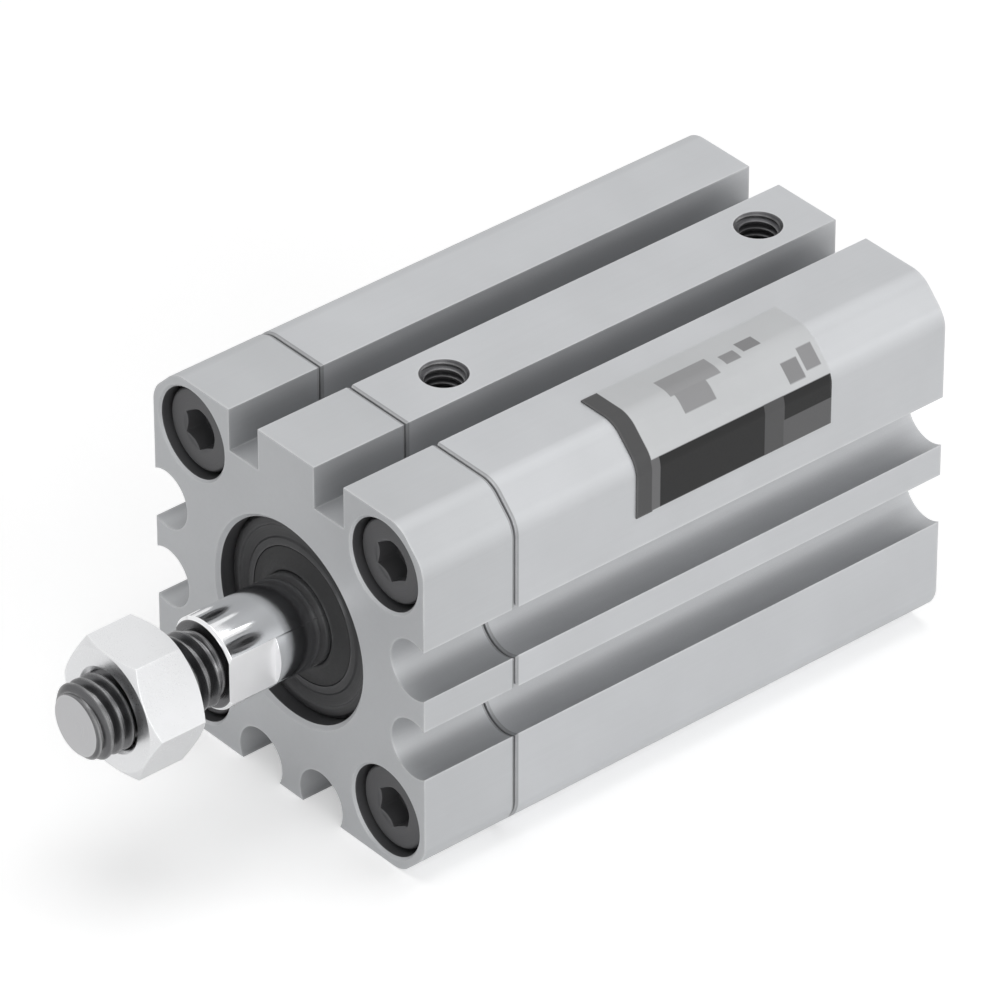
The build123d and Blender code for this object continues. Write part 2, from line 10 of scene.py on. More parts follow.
import bpy
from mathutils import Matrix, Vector


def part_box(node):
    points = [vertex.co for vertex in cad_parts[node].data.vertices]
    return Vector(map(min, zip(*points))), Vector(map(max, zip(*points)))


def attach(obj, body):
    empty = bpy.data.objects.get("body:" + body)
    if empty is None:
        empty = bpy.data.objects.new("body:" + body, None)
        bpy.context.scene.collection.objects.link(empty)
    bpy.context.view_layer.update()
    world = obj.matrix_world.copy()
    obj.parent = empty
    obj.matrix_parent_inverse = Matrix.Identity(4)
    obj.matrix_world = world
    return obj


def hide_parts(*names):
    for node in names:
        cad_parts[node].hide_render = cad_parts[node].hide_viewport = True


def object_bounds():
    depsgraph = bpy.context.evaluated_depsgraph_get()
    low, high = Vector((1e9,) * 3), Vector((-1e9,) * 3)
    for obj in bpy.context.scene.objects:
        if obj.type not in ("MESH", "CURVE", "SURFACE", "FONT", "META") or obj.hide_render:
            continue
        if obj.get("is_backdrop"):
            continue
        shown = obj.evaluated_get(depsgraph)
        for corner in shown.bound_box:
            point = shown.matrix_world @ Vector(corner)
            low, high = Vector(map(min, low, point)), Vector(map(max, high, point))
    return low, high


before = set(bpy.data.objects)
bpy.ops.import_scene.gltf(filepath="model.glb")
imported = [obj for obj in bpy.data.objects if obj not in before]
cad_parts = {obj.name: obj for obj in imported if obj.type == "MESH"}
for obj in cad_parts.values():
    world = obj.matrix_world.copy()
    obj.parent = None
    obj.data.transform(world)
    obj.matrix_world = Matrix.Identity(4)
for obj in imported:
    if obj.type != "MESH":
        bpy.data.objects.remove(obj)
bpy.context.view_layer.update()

LOG = logging.getLogger("compact_cylinder")

# A millimetre in metres
MM = 0.001

# In millimetres: how near points are welded, what still counts as on a face or on a line, and how far a
# cutter reaches past a face
WELD = 1e-4
ON_FACE = 0.01
ON_LINE = 0.05
PAST = 1.0

# Faces round a piece
FINE = 128
ROUND = 72
SMALL = 48
HEXAGON = 6

# The middle of a noise's range, where most of it lies
MID_NOISE = (0.25, 0.75)

LOOK = "look_"

Point = tuple[float, float, float]
Colour = tuple[float, float, float]
Profile = list[tuple[float, float]]
Sockets = dict[str, bpy.types.NodeSocket]


class Body(str, Enum):
    """The rigid bodies of the frame that pieces ride on."""

    CYLINDER = "cylinder"
    ROD = "rod"
    NUT = "lock_nut"


class Join(str, Enum):
    """How one solid shapes another."""

    CUT = "DIFFERENCE"
    KEEP = "INTERSECT"
    ADD = "UNION"


class Axis(str, Enum):
    """The axis that a round piece is turned about."""

    BORE = "Y"
    PORT = "Z"


class Pick(str, Enum):
    """Which points of a piece are selected when it is edited."""

    ALL = "SELECT"
    NONE = "DESELECT"
    AS_IT_WAS = ""


class Bench:
    """Modelling moves. Lengths are millimetres until a piece is finished, which puts it in metres."""

    @staticmethod
    def clear() -> None:
        """Leave edit mode and deselect everything."""
        if bpy.context.object and bpy.context.object.mode != "OBJECT":
            bpy.ops.object.mode_set(mode="OBJECT")
        bpy.ops.object.select_all(action="DESELECT")

    @staticmethod
    def pick(piece: bpy.types.Object) -> None:
        """Select one piece alone and make it active.

        Args:
            piece: The piece.
        """
        Bench.clear()
        piece.select_set(True)
        bpy.context.view_layer.objects.active = piece

    @staticmethod
    @contextmanager
    def editing(pick: Pick = Pick.ALL) -> Iterator[None]:
        """Work on the active piece in edit mode, and leave that mode afterwards.

        Args:
            pick: Which points are selected first.

        Returns:
            The context to edit in.
        """
        bpy.ops.object.mode_set(mode="EDIT")
        if pick is not Pick.AS_IT_WAS:
            bpy.ops.mesh.select_all(action=pick.value)
        yield
        bpy.ops.object.mode_set(mode="OBJECT")

    @staticmethod
    def take_new(name: str) -> bpy.types.Object:
        """Name the primitive that was just added and put its place into its mesh.

        Args:
            name: The piece's name.

        Returns:
            The new object, at the origin and unturned.
        """
        piece = bpy.context.object
        piece.name = name
        piece.data.name = name
        bpy.ops.object.transform_apply(location=True, rotation=True, scale=True)
        return piece

    @staticmethod
    def box(name: str, low: Point, high: Point) -> bpy.types.Object:
        """Add a block between two corners.

        Args:
            name: The piece's name.
            low: Lowest corner.
            high: Highest corner.

        Returns:
            The block.
        """
        Bench.clear()
        middle = [(a + b) / 2 for a, b in zip(low, high)]
        size = [b - a for a, b in zip(low, high)]
        bpy.ops.mesh.primitive_cube_add(size=1, location=middle, scale=size)
        return Bench.take_new(name)

    @staticmethod
    def rod(name: str, radius: float, ends: tuple[float, float], at: tuple[float, float] = (0, 0),
            sides: int = ROUND) -> bpy.types.Object:
        """Add a round bar along the bore axis.

        Args:
            name: The piece's name.
            radius: Its radius.
            ends: Lowest and highest y.
            at: x and z of its middle line.
            sides: Faces round it.

        Returns:
            The bar.
        """
        Bench.clear()
        low, high = ends
        bpy.ops.mesh.primitive_cylinder_add(
            vertices=sides, radius=radius, depth=high - low, location=(at[0], (low + high) / 2, at[1]),
            rotation=(math.pi / 2, 0, 0),
        )
        return Bench.take_new(name)

    @staticmethod
    def turned(name: str, profile: Profile, axis: Axis = Axis.BORE, sides: int = ROUND,
               closed: bool = False) -> bpy.types.Object:
        """Turn a profile: a ring is extruded and scaled from one point of the profile to the next.

        Args:
            name: The piece's name.
            profile: Radius and place along the axis of each point, with no radius of zero.
            axis: The axis that it is round about, through the origin.
            sides: Faces round it.
            closed: True for a ring, whose last point joins its first, and False for a solid with flat ends.

        Returns:
            The turned piece.
        """
        Bench.clear()
        along = Vector((0, 1, 0)) if axis is Axis.BORE else Vector((0, 0, 1))
        turn = (math.pi / 2, 0, 0) if axis is Axis.BORE else (0, 0, 0)
        radius, place = profile[0]
        bpy.ops.mesh.primitive_circle_add(
            vertices=sides, radius=radius, location=along * place, rotation=turn,
        )
        piece = Bench.take_new(name)
        with Bench.editing():
            for next_radius, next_place in profile[1:] + (profile[:1] if closed else []):
                move = {"value": along * (next_place - place)}
                bpy.ops.mesh.extrude_edges_move(TRANSFORM_OT_translate=move)
                grow = next_radius / radius
                scale = (grow, 1, grow) if axis is Axis.BORE else (grow, grow, 1)
                bpy.ops.transform.resize(value=scale, center_override=along * next_place)
                radius, place = next_radius, next_place
            bpy.ops.mesh.select_all(action="SELECT")
            if closed:
                bpy.ops.mesh.remove_doubles(threshold=WELD)
            else:
                bpy.ops.mesh.fill_holes(sides=0)
            bpy.ops.mesh.select_all(action="SELECT")
            bpy.ops.mesh.normals_make_consistent(inside=False)
        return piece

    @staticmethod
    def move(piece: bpy.types.Object, step: Point) -> bpy.types.Object:
        """Shift a piece and keep its place in its mesh.

        Args:
            piece: The piece.
            step: How far it goes.

        Returns:
            The piece.
        """
        Bench.pick(piece)
        bpy.ops.transform.translate(value=step)
        bpy.ops.object.transform_apply(location=True, rotation=True, scale=True)
        return piece

    @staticmethod
    def copy(piece: bpy.types.Object, name: str, step: Point) -> bpy.types.Object:
        """Copy a piece with its own mesh, and shift the copy.

        Args:
            piece: The piece to copy.
            name: The copy's name.
            step: How far it goes.

        Returns:
            The copy.
        """
        Bench.pick(piece)
        bpy.ops.object.duplicate(linked=False)
        twin = bpy.context.object
        twin.name = name
        twin.data.name = name
        return Bench.move(twin, step)

    @staticmethod
    def join(piece: bpy.types.Object, tools: list[bpy.types.Object], how: Join) -> bpy.types.Object:
        """Cut, keep or add other solids, which are used up.

        Args:
            piece: The solid that stays.
            tools: The solids that shape it.
            how: What each of them does.

        Returns:
            The piece.
        """
        for tool in tools:
            Bench.pick(piece)
            step = piece.modifiers.new("join", "BOOLEAN")
            step.object = tool
            step.operation = how.value
            step.solver = "EXACT"
            bpy.ops.object.modifier_apply(modifier=step.name)
            bpy.data.objects.remove(tool, do_unlink=True)
        return piece

    @staticmethod
    def soften(piece: bpy.types.Object, width: float, segments: int = 2,
               angle: float = 35) -> bpy.types.Object:
        """Round every edge that is sharper than an angle.

        Args:
            piece: The piece.
            width: How far back from the edge the rounding starts.
            segments: Faces across the rounding.
            angle: The sharpest turn, in degrees, that is left alone.

        Returns:
            The piece.
        """
        Bench.pick(piece)
        edge = piece.modifiers.new("edges", "BEVEL")
        edge.limit_method = "ANGLE"
        edge.angle_limit = math.radians(angle)
        edge.width = width
        edge.segments = segments
        edge.use_clamp_overlap = True
        bpy.ops.object.modifier_apply(modifier=edge.name)
        return piece

    @staticmethod
    @contextmanager
    def on_edges(piece: bpy.types.Object, picked: Callable[[list[Vector]], bool]) -> Iterator[None]:
        """Work in edit mode on the edges that a test picks.

        Args:
            piece: The piece.
            picked: The test, which is given both ends of an edge.

        Returns:
            The context to edit in, with only those edges selected.
        """
        Bench.pick(piece)
        with Bench.editing(Pick.NONE):
            bpy.ops.mesh.select_mode(type="EDGE")
        points = piece.data.vertices
        for edge in piece.data.edges:
            edge.select = picked([points[i].co for i in edge.vertices])
        with Bench.editing(Pick.AS_IT_WAS):
            yield
            bpy.ops.mesh.select_mode(type="VERT")

    @staticmethod
    def round_edges(piece: bpy.types.Object, width: float, segments: int,
                    picked: Callable[[list[Vector]], bool]) -> bpy.types.Object:
        """Round only the edges that a test picks.

        Args:
            piece: The piece.
            width: How far back from the edge the rounding starts.
            segments: Faces across the rounding.
            picked: The test, which is given both ends of an edge.

        Returns:
            The piece.
        """
        with Bench.on_edges(piece, picked):
            bpy.ops.mesh.bevel(offset=width, segments=segments, affect="EDGES")
        return piece

    @staticmethod
    def tint(piece: bpy.types.Object, finish: "Finish", picked: Callable[[Vector], bool]) -> None:
        """Give some faces of a finished piece a second finish.

        Args:
            piece: The finished piece.
            finish: The second finish.
            picked: Says of a face, from its middle in millimetres, whether it takes that finish.
        """
        piece.data.materials.append(finish.material())
        index = len(piece.data.materials) - 1
        for face in piece.data.polygons:
            if picked(face.center / MM):
                face.material_index = index

    @staticmethod
    def finish(piece: bpy.types.Object, body: Body, finish: "Finish", nodes: list[str],
               smooth: float = 40) -> None:
        """Put a piece in metres, shade it, dress it and hang it on its body.

        Args:
            piece: The modelled piece, in millimetres.
            body: The body that it rides on.
            finish: Its surface.
            nodes: The CAD nodes that it stands for.
            smooth: Turns below this many degrees are shaded round.
        """
        Bench.pick(piece)
        with Bench.editing():
            bpy.ops.mesh.remove_doubles(threshold=WELD)
            bpy.ops.mesh.normals_make_consistent(inside=False)
        piece.scale = (MM, MM, MM)
        bpy.ops.object.transform_apply(location=True, rotation=True, scale=True)
        bpy.ops.object.shade_smooth_by_angle(angle=math.radians(smooth))
        weigh = piece.modifiers.new("normals", "WEIGHTED_NORMAL")
        weigh.keep_sharp = True
        bpy.ops.object.modifier_apply(modifier=weigh.name)
        piece.data.materials.clear()
        piece.data.materials.append(finish.material())
        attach(piece, body.value)
        if nodes:
            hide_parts(*nodes)
        LOG.info("%s: %d faces on %s", piece.name, len(piece.data.polygons), body.value)


class Graph:
    """A short way to write shader nodes."""

    def __init__(self, tree: bpy.types.NodeTree) -> None:
        """Start on an emptied tree."""
        self.tree = tree
        self.tree.nodes.clear()

    def add(self, kind: str, inputs: dict | None = None, **settings: object) -> bpy.types.Node:
        """Add a node.

        Args:
            kind: The node's type without its "ShaderNode" start.
            inputs: Input name or number to a value, or to the output socket that feeds it.
            settings: The node's own settings.

        Returns:
            The node.
        """
        node = self.tree.nodes.new(kind if kind.startswith("Node") else "ShaderNode" + kind)
        for name, value in settings.items():
            setattr(node, name, value)
        for key, value in (inputs or {}).items():
            socket = node.inputs[key]
            if isinstance(value, bpy.types.NodeSocket):
                self.tree.links.new(value, socket)
            else:
                socket.default_value = value
        return node

    def place(self) -> bpy.types.NodeSocket:
        """The shaded point, in the frame's own coordinates."""
        return self.add("TexCoord").outputs["Object"]

    def noise(self, at: object, scale: object, detail: float, roughness: float = 0.5) -> bpy.types.NodeSocket:
        """The value of a noise at a place."""
        inputs = {"Vector": at, "Scale": scale, "Detail": detail, "Roughness": roughness}
        return self.add("TexNoise", inputs).outputs[0]

    def math(self, operation: str, first: object, second: object = 0.0,
             clamp: bool = False) -> bpy.types.NodeSocket:
        """Combine two numbers and return the result's socket."""
        return self.add("Math", {0: first, 1: second}, operation=operation, use_clamp=clamp).outputs[0]

    def spread(self, value: object, low: float, high: float, to_low: float = 0.0,
               to_high: float = 1.0) -> bpy.types.NodeSocket:
        """Map a range to another, clamped at its ends, and return the result's socket."""
        inputs = {"Value": value, "From Min": low, "From Max": high, "To Min": to_low, "To Max": to_high}
        return self.add("MapRange", inputs, clamp=True).outputs[0]

    def blend(self, factor: object, first: object, second: object, mode: str = "MIX") -> bpy.types.NodeSocket:
        """Mix two colours.

        Args:
            factor: The second colour's share.
            first: The first colour, or its socket.
            second: The second colour, or its socket.
            mode: How they are mixed.

        Returns:
            The result's socket.
        """
        node = self.add("Mix", data_type="RGBA", blend_type=mode)
        for name, value in (("Factor_Float", factor), ("A_Color", first), ("B_Color", second)):
            socket = next(s for s in node.inputs if s.identifier == name)
            if isinstance(value, bpy.types.NodeSocket):
                self.tree.links.new(value, socket)
            else:
                socket.default_value = (*value, 1) if isinstance(value, tuple) else value
        return next(s for s in node.outputs if s.identifier == "Result_Color")


class Effect(str, Enum):
    """The shared surface effects, each a node group."""

    GRAIN = "fine_grain"
    LINES = "draw_lines"
    RINGS = "turning_rings"
    WEAR = "edge_wear"
    SMUDGE = "handling_smudges"
    RECESS = "recess_shade"


class Effects:
    """Builds each shared effect once. Each method after the first lays out one and gives its value."""

    ring_slant = 1.3

    @staticmethod
    def group(effect: Effect) -> bpy.types.NodeTree:
        """Give an effect's node group, which is built when it is first asked for.

        Args:
            effect: The effect.

        Returns:
            Its node group, which has one output.
        """
        found = bpy.data.node_groups.get(effect.value)
        if found:
            return found
        inputs, output, lay_out = {
            Effect.GRAIN: ({"Scale": 9000.0}, "Height", Effects.grain),
            Effect.LINES: ({"Scale": 4000.0, "Stretch": 0.012}, "Height", Effects.lines),
            Effect.RINGS: ({"Scale": 9000.0, "Centre X": 0.0, "Centre Z": 0.0}, "Height", Effects.rings),
            Effect.WEAR: ({"Radius": 0.00025, "Strength": 1.0}, "Mask", Effects.wear),
            Effect.SMUDGE: ({"Scale": 160.0}, "Mask", Effects.smudge),
            Effect.RECESS: ({"Distance": 0.004, "Strength": 1.0}, "Mask", Effects.painted_recess_shade),
        }[effect]
        tree = bpy.data.node_groups.new(effect.value, "ShaderNodeTree")
        for label, value in inputs.items():
            socket = tree.interface.new_socket(name=label, in_out="INPUT", socket_type="NodeSocketFloat")
            socket.default_value = value
        tree.interface.new_socket(name=output, in_out="OUTPUT", socket_type="NodeSocketFloat")
        graph = Graph(tree)
        given = {socket.name: socket for socket in graph.add("NodeGroupInput").outputs}
        out = graph.add("NodeGroupOutput")
        tree.links.new(lay_out(graph, given), out.inputs[0])
        return tree

    @staticmethod
    def grain(graph: Graph, given: Sockets) -> bpy.types.NodeSocket:
        """The even fine grain of a blasted and anodised or a moulded surface."""
        return graph.noise(graph.place(), given["Scale"], 3.0, 0.6)

    @staticmethod
    def lines(graph: Graph, given: Sockets) -> bpy.types.NodeSocket:
        """The faint lengthwise lines that a die leaves on an extrusion.

        Args:
            graph: The group's graph.
            given: The group's inputs.

        Returns:
            The height's socket.
        """
        stretch = graph.add("CombineXYZ", {0: 1.0, 1: given["Stretch"], 2: 1.0}).outputs[0]
        along = graph.add("VectorMath", {0: graph.place(), 1: stretch}, operation="MULTIPLY").outputs[0]
        return graph.noise(along, given["Scale"], 4.0, 0.7)

    @staticmethod
    def rings(graph: Graph, given: Sockets) -> bpy.types.NodeSocket:
        """The fine rings of a lathe round the bore axis or a line beside it.

        Args:
            graph: The group's graph.
            given: The group's inputs.

        Returns:
            The height's socket.
        """
        parts = graph.add("SeparateXYZ", {0: graph.place()}).outputs
        side = graph.math("SUBTRACT", parts[0], given["Centre X"])
        rise = graph.math("SUBTRACT", parts[2], given["Centre Z"])
        squares = [graph.math("MULTIPLY", part, part) for part in (side, rise)]
        radius = graph.math("SQRT", graph.math("ADD", *squares))
        place = graph.math("ADD", radius, graph.math("MULTIPLY", parts[1], Effects.ring_slant))
        place = graph.math("MULTIPLY", place, given["Scale"])
        inputs = {"W": place, "Scale": 1.0, "Detail": 3.0, "Roughness": 0.55}
        return graph.add("TexNoise", inputs, noise_dimensions="1D").outputs[0]

    @staticmethod
    def wear(graph: Graph, given: Sockets) -> bpy.types.NodeSocket:
        """A mask of the edges that handling rubs bright.

        Args:
            graph: The group's graph.
            given: The group's inputs.

        Returns:
            The mask's socket.
        """
        rounded = graph.add("Bevel", {"Radius": given["Radius"]}, samples=4).outputs[0]
        flat = graph.add("NewGeometry").outputs["Normal"]
        close = graph.add("VectorMath", {0: rounded, 1: flat}, operation="DOT_PRODUCT").outputs["Value"]
        edge = graph.spread(close, 1.0, 0.86)
        patchy = graph.spread(graph.noise(graph.place(), 700.0, 3.0), 0.35, 0.6, 0.35, 1.0)
        return graph.math("MULTIPLY", graph.math("MULTIPLY", edge, patchy), given["Strength"], clamp=True)

    @staticmethod
    def smudge(graph: Graph, given: Sockets) -> bpy.types.NodeSocket:
        """Soft uneven patches that handling leaves on a surface."""
        return graph.spread(graph.noise(graph.place(), given["Scale"], 5.0, 0.55), 0.3, 0.7)

    @staticmethod
    def painted_recess_shade(graph: Graph, given: Sockets) -> bpy.types.NodeSocket:
        """A mask of painted shade in the slots and grooves: ambient occlusion darkens their walls where shade
        falls.

        Args:
            graph: The group's graph.
            given: The group's inputs.

        Returns:
            The mask's socket.
        """
        reach = {"Distance": given["Distance"]}
        open_share = graph.add("AmbientOcclusion", reach, samples=4, only_local=True).outputs["AO"]
        shut = graph.spread(open_share, 0.9, 0.35)
        return graph.math("MULTIPLY", shut, given["Strength"], clamp=True)


@dataclass(frozen=True)
class Finish:
    """One surface: its colour, gloss and fine texture."""

    name: str
    slot: str
    colour: Colour
    metallic: float
    roughness: float
    texture: Effect = Effect.GRAIN
    texture_scale: float = 9000.0
    depth: float = 0.000004
    worn: Colour = (0.9, 0.9, 0.9)
    wear: float = 0.3
    patchiness: float = 0.06
    gloss_spread: float = 0.06
    coat: float = 0.0
    specular: float = 0.5
    # Painted shade: ambient occlusion mixes a share of this dark colour into slots and grooves.
    painted_recess_shade: float = 0.0
    painted_shade_colour: Colour = (0.1, 0.1, 0.105)
    centre: tuple[float, float] = (0.0, 0.0)
    bump_strength: float = 0.6
    coat_roughness: float = 0.08

    def material(self) -> bpy.types.Material:
        """Give the material, which is built when it is first asked for."""
        return bpy.data.materials.get(LOOK + self.name) or self.build()

    def base(self, graph: Graph) -> object:
        """The plain colour, or the socket of a colour that changes over the surface."""
        return self.colour

    def build(self) -> bpy.types.Material:
        """Build the material from the shared effects.

        Returns:
            The new material.
        """
        made = bpy.data.materials.new(LOOK + self.name)
        made.use_nodes = True
        graph = Graph(made.node_tree)
        smudge = self.effect(graph, Effect.SMUDGE, {})
        texture_inputs = {"Scale": self.texture_scale}
        if self.texture is Effect.RINGS:
            texture_inputs |= {"Centre X": self.centre[0], "Centre Z": self.centre[1]}
        texture = self.effect(graph, self.texture, texture_inputs)
        wear = self.effect(graph, Effect.WEAR, {"Strength": self.wear})
        shade = graph.spread(smudge, 0, 1, 1 - self.patchiness, 1)
        grey = graph.add("CombineColor", {0: shade, 1: shade, 2: shade}).outputs[0]
        shaded = graph.blend(1.0, self.base(graph), grey, "MULTIPLY")
        # Painted shade in the slots and grooves, from ambient occlusion.
        if self.painted_recess_shade:
            painted_recess_shade = self.effect(graph, Effect.RECESS, {"Strength": self.painted_recess_shade})
            shaded = graph.blend(painted_recess_shade, shaded, self.painted_shade_colour)
        colour = graph.blend(wear, shaded, self.worn)
        rough = graph.math("ADD", graph.spread(texture, *MID_NOISE, -self.gloss_spread, self.gloss_spread),
                           graph.spread(smudge, 0, 1, self.roughness, self.roughness + self.gloss_spread))
        relief = {"Height": texture, "Distance": self.depth, "Strength": self.bump_strength}
        bump = graph.add("Bump", relief).outputs[0]
        shader = graph.add("BsdfPrincipled", {
            "Base Color": colour, "Metallic": self.metallic, "Roughness": rough, "Normal": bump,
            "Coat Weight": self.coat, "Coat Roughness": self.coat_roughness,
            "Specular IOR Level": self.specular,
        })
        graph.add("OutputMaterial", {"Surface": shader.outputs[0]})
        return made

    @staticmethod
    def effect(graph: Graph, effect: Effect, inputs: dict[str, float]) -> bpy.types.NodeSocket:
        """Place a shared effect.

        Args:
            graph: The material's graph.
            effect: The effect.
            inputs: The group's inputs that differ from their defaults.

        Returns:
            The effect's output.
        """
        node = graph.add("Group")
        node.node_tree = Effects.group(effect)
        for label, value in inputs.items():
            node.inputs[label].default_value = value
        return node.outputs[0]


@dataclass(frozen=True)
class Field:
    """A plain printed block of the label: the room it lies in, in millimetres, and its tone."""

    low: Point
    high: Point
    tone: float


@dataclass(frozen=True)
class LabelFinish(Finish):
    """The label's film: a pale ground with a border strip, a plain dark band and a few plain blocks."""

    soft: float = 0.06
    cool: float = 1.02
    fields: tuple[Field, ...] = (
        Field((0, -24.75, 0), (13, -23.5, 13), 0.08),
        Field((12.4, -23.5, 6.9), (13, -22.85, 10.35), 0.15),
        Field((12.4, -22.85, 6.9), (13, -9.2, 10.35), 0.019),
        Field((12.4, -14.6, 6.9), (13, -13.1, 10.35), 0.09),
        Field((12.4, -13.1, 6.9), (13, -9.2, 8.7), 0.12),
        Field((8.9, -20.2, 11), (10.4, -16.3, 13), 0.34),
        Field((10.4, -19.9, 11), (11.4, -17.5, 13), 0.32),
        Field((9.3, -15.5, 11), (10.1, -14.4, 13), 0.3),
        Field((8.9, -13.9, 11), (9.8, -12.6, 13), 0.26),
        Field((11.3, -12.3, 10.7), (12.2, -11.1, 13), 0.27),
        Field((11.0, -10.8, 10.7), (12.0, -9.7, 13), 0.3),
    )

    def base(self, graph: Graph) -> object:
        """The print, placed on the label in the frame's own coordinates.

        Args:
            graph: The material's graph.

        Returns:
            The socket of the printed colour.
        """
        parts = graph.add("SeparateXYZ", {0: graph.place()}).outputs
        printed = self.colour
        for field in self.fields:
            mask = 1.0
            for part, low, high in zip(parts, field.low, field.high):
                rising = graph.spread(part, (low - self.soft) * MM, low * MM)
                falling = graph.spread(part, high * MM, (high + self.soft) * MM, 1.0, 0.0)
                mask = graph.math("MULTIPLY", mask, graph.math("MULTIPLY", rising, falling))
            printed = graph.blend(mask, printed, (field.tone, field.tone, field.tone * self.cool))
        return printed


# The anodised finishes take painted shade in their slots and grooves.
TUBE_FINISH = Finish("anodised_extrusion", "tube_anodised", (0.56, 0.57, 0.585), 0.55, 0.47, Effect.LINES,
                     5000.0, 0.000003, painted_recess_shade=0.39)
# The housing's colour is painted a little darker than the tube's, as shade on its front face.
HOUSING_SHADE_FINISH = Finish("anodised_housing", "housing_anodised", (0.52, 0.53, 0.543), 0.55, 0.47,
                        Effect.LINES, 5000.0, 0.000003, painted_recess_shade=0.3)
# Painted shade: the bevels where tube and housing meet are coloured darker, as shade in the seam.
JOINT_SHADE_TONE = (0.34, 0.345, 0.355)
TUBE_JOINT_SHADE_FINISH = Finish("tube_joint_edge", "tube_anodised", JOINT_SHADE_TONE, 0.55, 0.5, Effect.LINES, 5000.0)
HOUSING_JOINT_SHADE_FINISH = replace(TUBE_JOINT_SHADE_FINISH, name="housing_joint_edge", slot="housing_anodised")
# Painted shade: the walls of the ports and tapped rear holes are coloured near black, as shade deep in the
# holes.
HOLE_SHADE_FINISH = Finish("cut_oiled_thread", "tube_anodised", (0.07, 0.07, 0.075), 0.6, 0.4, Effect.GRAIN,
                     12000.0)
BORED_FINISH = Finish("shaded_bored_wall", "housing_anodised", (0.11, 0.11, 0.115), 0.5, 0.45, Effect.RINGS)
SCREW_FINISH = Finish("black_oxide", "screw_black_oxide", (0.1, 0.1, 0.104), 0.4, 0.45, Effect.RINGS, 16000.0,
                      0.000004, (0.16, 0.16, 0.165), 0.5)
COLLAR_FINISH = Finish("dark_turned_collar", "collar_dark", (0.03, 0.03, 0.032), 0.35, 0.42, Effect.RINGS,
                       14000.0, 0.000005, (0.22, 0.22, 0.225), 0.35)
CHROME_FINISH = Finish("ground_chrome", "rod_chrome", (0.86, 0.865, 0.875), 1.0, 0.09, Effect.RINGS, 30000.0,
                       0.000001, (0.95, 0.95, 0.95), 0.2, 0.03, 0.02)
# Painted shade: the rod's thread and relief are coloured dark, as shade on the thread.
THREAD_SHADE_FINISH = Finish("cut_steel_thread", "rod_chrome", (0.13, 0.13, 0.134), 1.0, 0.26, Effect.RINGS,
                       26000.0, 0.000003, (0.8, 0.8, 0.8), 0.4, 0.1, 0.05)
FLAT_FINISH = Finish("milled_flat", "rod_chrome", (0.93, 0.93, 0.94), 0.7, 0.5, depth=0.000003)
TIP_FINISH = Finish("faced_rod_tip", "rod_chrome", (0.5, 0.5, 0.51), 1.0, 0.3, Effect.RINGS, 20000.0,
                    0.000003)
NUT_FINISH = Finish("nickel_plate", "nut_plated", (0.76, 0.765, 0.775), 1.0, 0.28, Effect.GRAIN, 12000.0,
                    0.000002, (0.97, 0.97, 0.96), 0.3, 0.04, 0.04)
RUBBER_FINISH = Finish("wiper_rubber", "wiper_rubber", (0.02, 0.02, 0.021), 0.0, 0.55, Effect.GRAIN, 6000.0,
                       0.00001, (0.05, 0.05, 0.05), 0.2, specular=0.4)
RING_FINISH = Finish("phosphated_ring", "snap_ring_steel", (0.06, 0.058, 0.055), 0.6, 0.4, Effect.GRAIN,
                     14000.0, 0.000006, (0.3, 0.29, 0.28), 0.6)
LABEL_FINISH = LabelFinish("label_film", "label_film", (0.6, 0.61, 0.62), 0.1, 0.42, Effect.GRAIN, 7000.0,
                           0.000001, (0.7, 0.7, 0.7), 0.1, coat=0.03, specular=0.22)
INNER_FINISHES = (
    (Finish("seal_rubber", "seal_rubber", (0.02, 0.02, 0.02), 0.0, 0.5),
     ("rod_cover_o_ring", "rear_cover_o_ring", "rod_o_ring", "rod_seal", "piston_seal")),
    (Finish("oiled_bronze", "bush_bronze", (0.5, 0.31, 0.13), 0.9, 0.35, Effect.RINGS), ("rod_bush",)),
    (Finish("urethane", "bumper_urethane", (0.42, 0.3, 0.1), 0.0, 0.45), ("front_bumper", "rear_bumper")),
    (Finish("guide_plastic", "guide_plastic", (0.72, 0.69, 0.58), 0.0, 0.5), ("wear_ring",)),
    (Finish("turned_piston", "piston_aluminium", (0.66, 0.64, 0.58), 0.9, 0.32, Effect.RINGS),
     ("piston_front", "piston_rear")),
    (Finish("bonded_magnet", "magnet_dark", (0.06, 0.06, 0.065), 0.1, 0.55), ("magnet_ring",)),
    (Finish("plated_piston_nut", "nut_plated", (0.8, 0.79, 0.76), 1.0, 0.25), ("piston_nut",)),
)


def stations(node: str) -> tuple[float, float]:
    """Lowest and highest y of a CAD node, in millimetres."""
    low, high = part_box(node)
    return low[1] / MM, high[1] / MM


def half_width(node: str) -> float:
    """Half a CAD node's width along x, in millimetres."""
    low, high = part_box(node)
    return (high[0] - low[0]) / 2 / MM


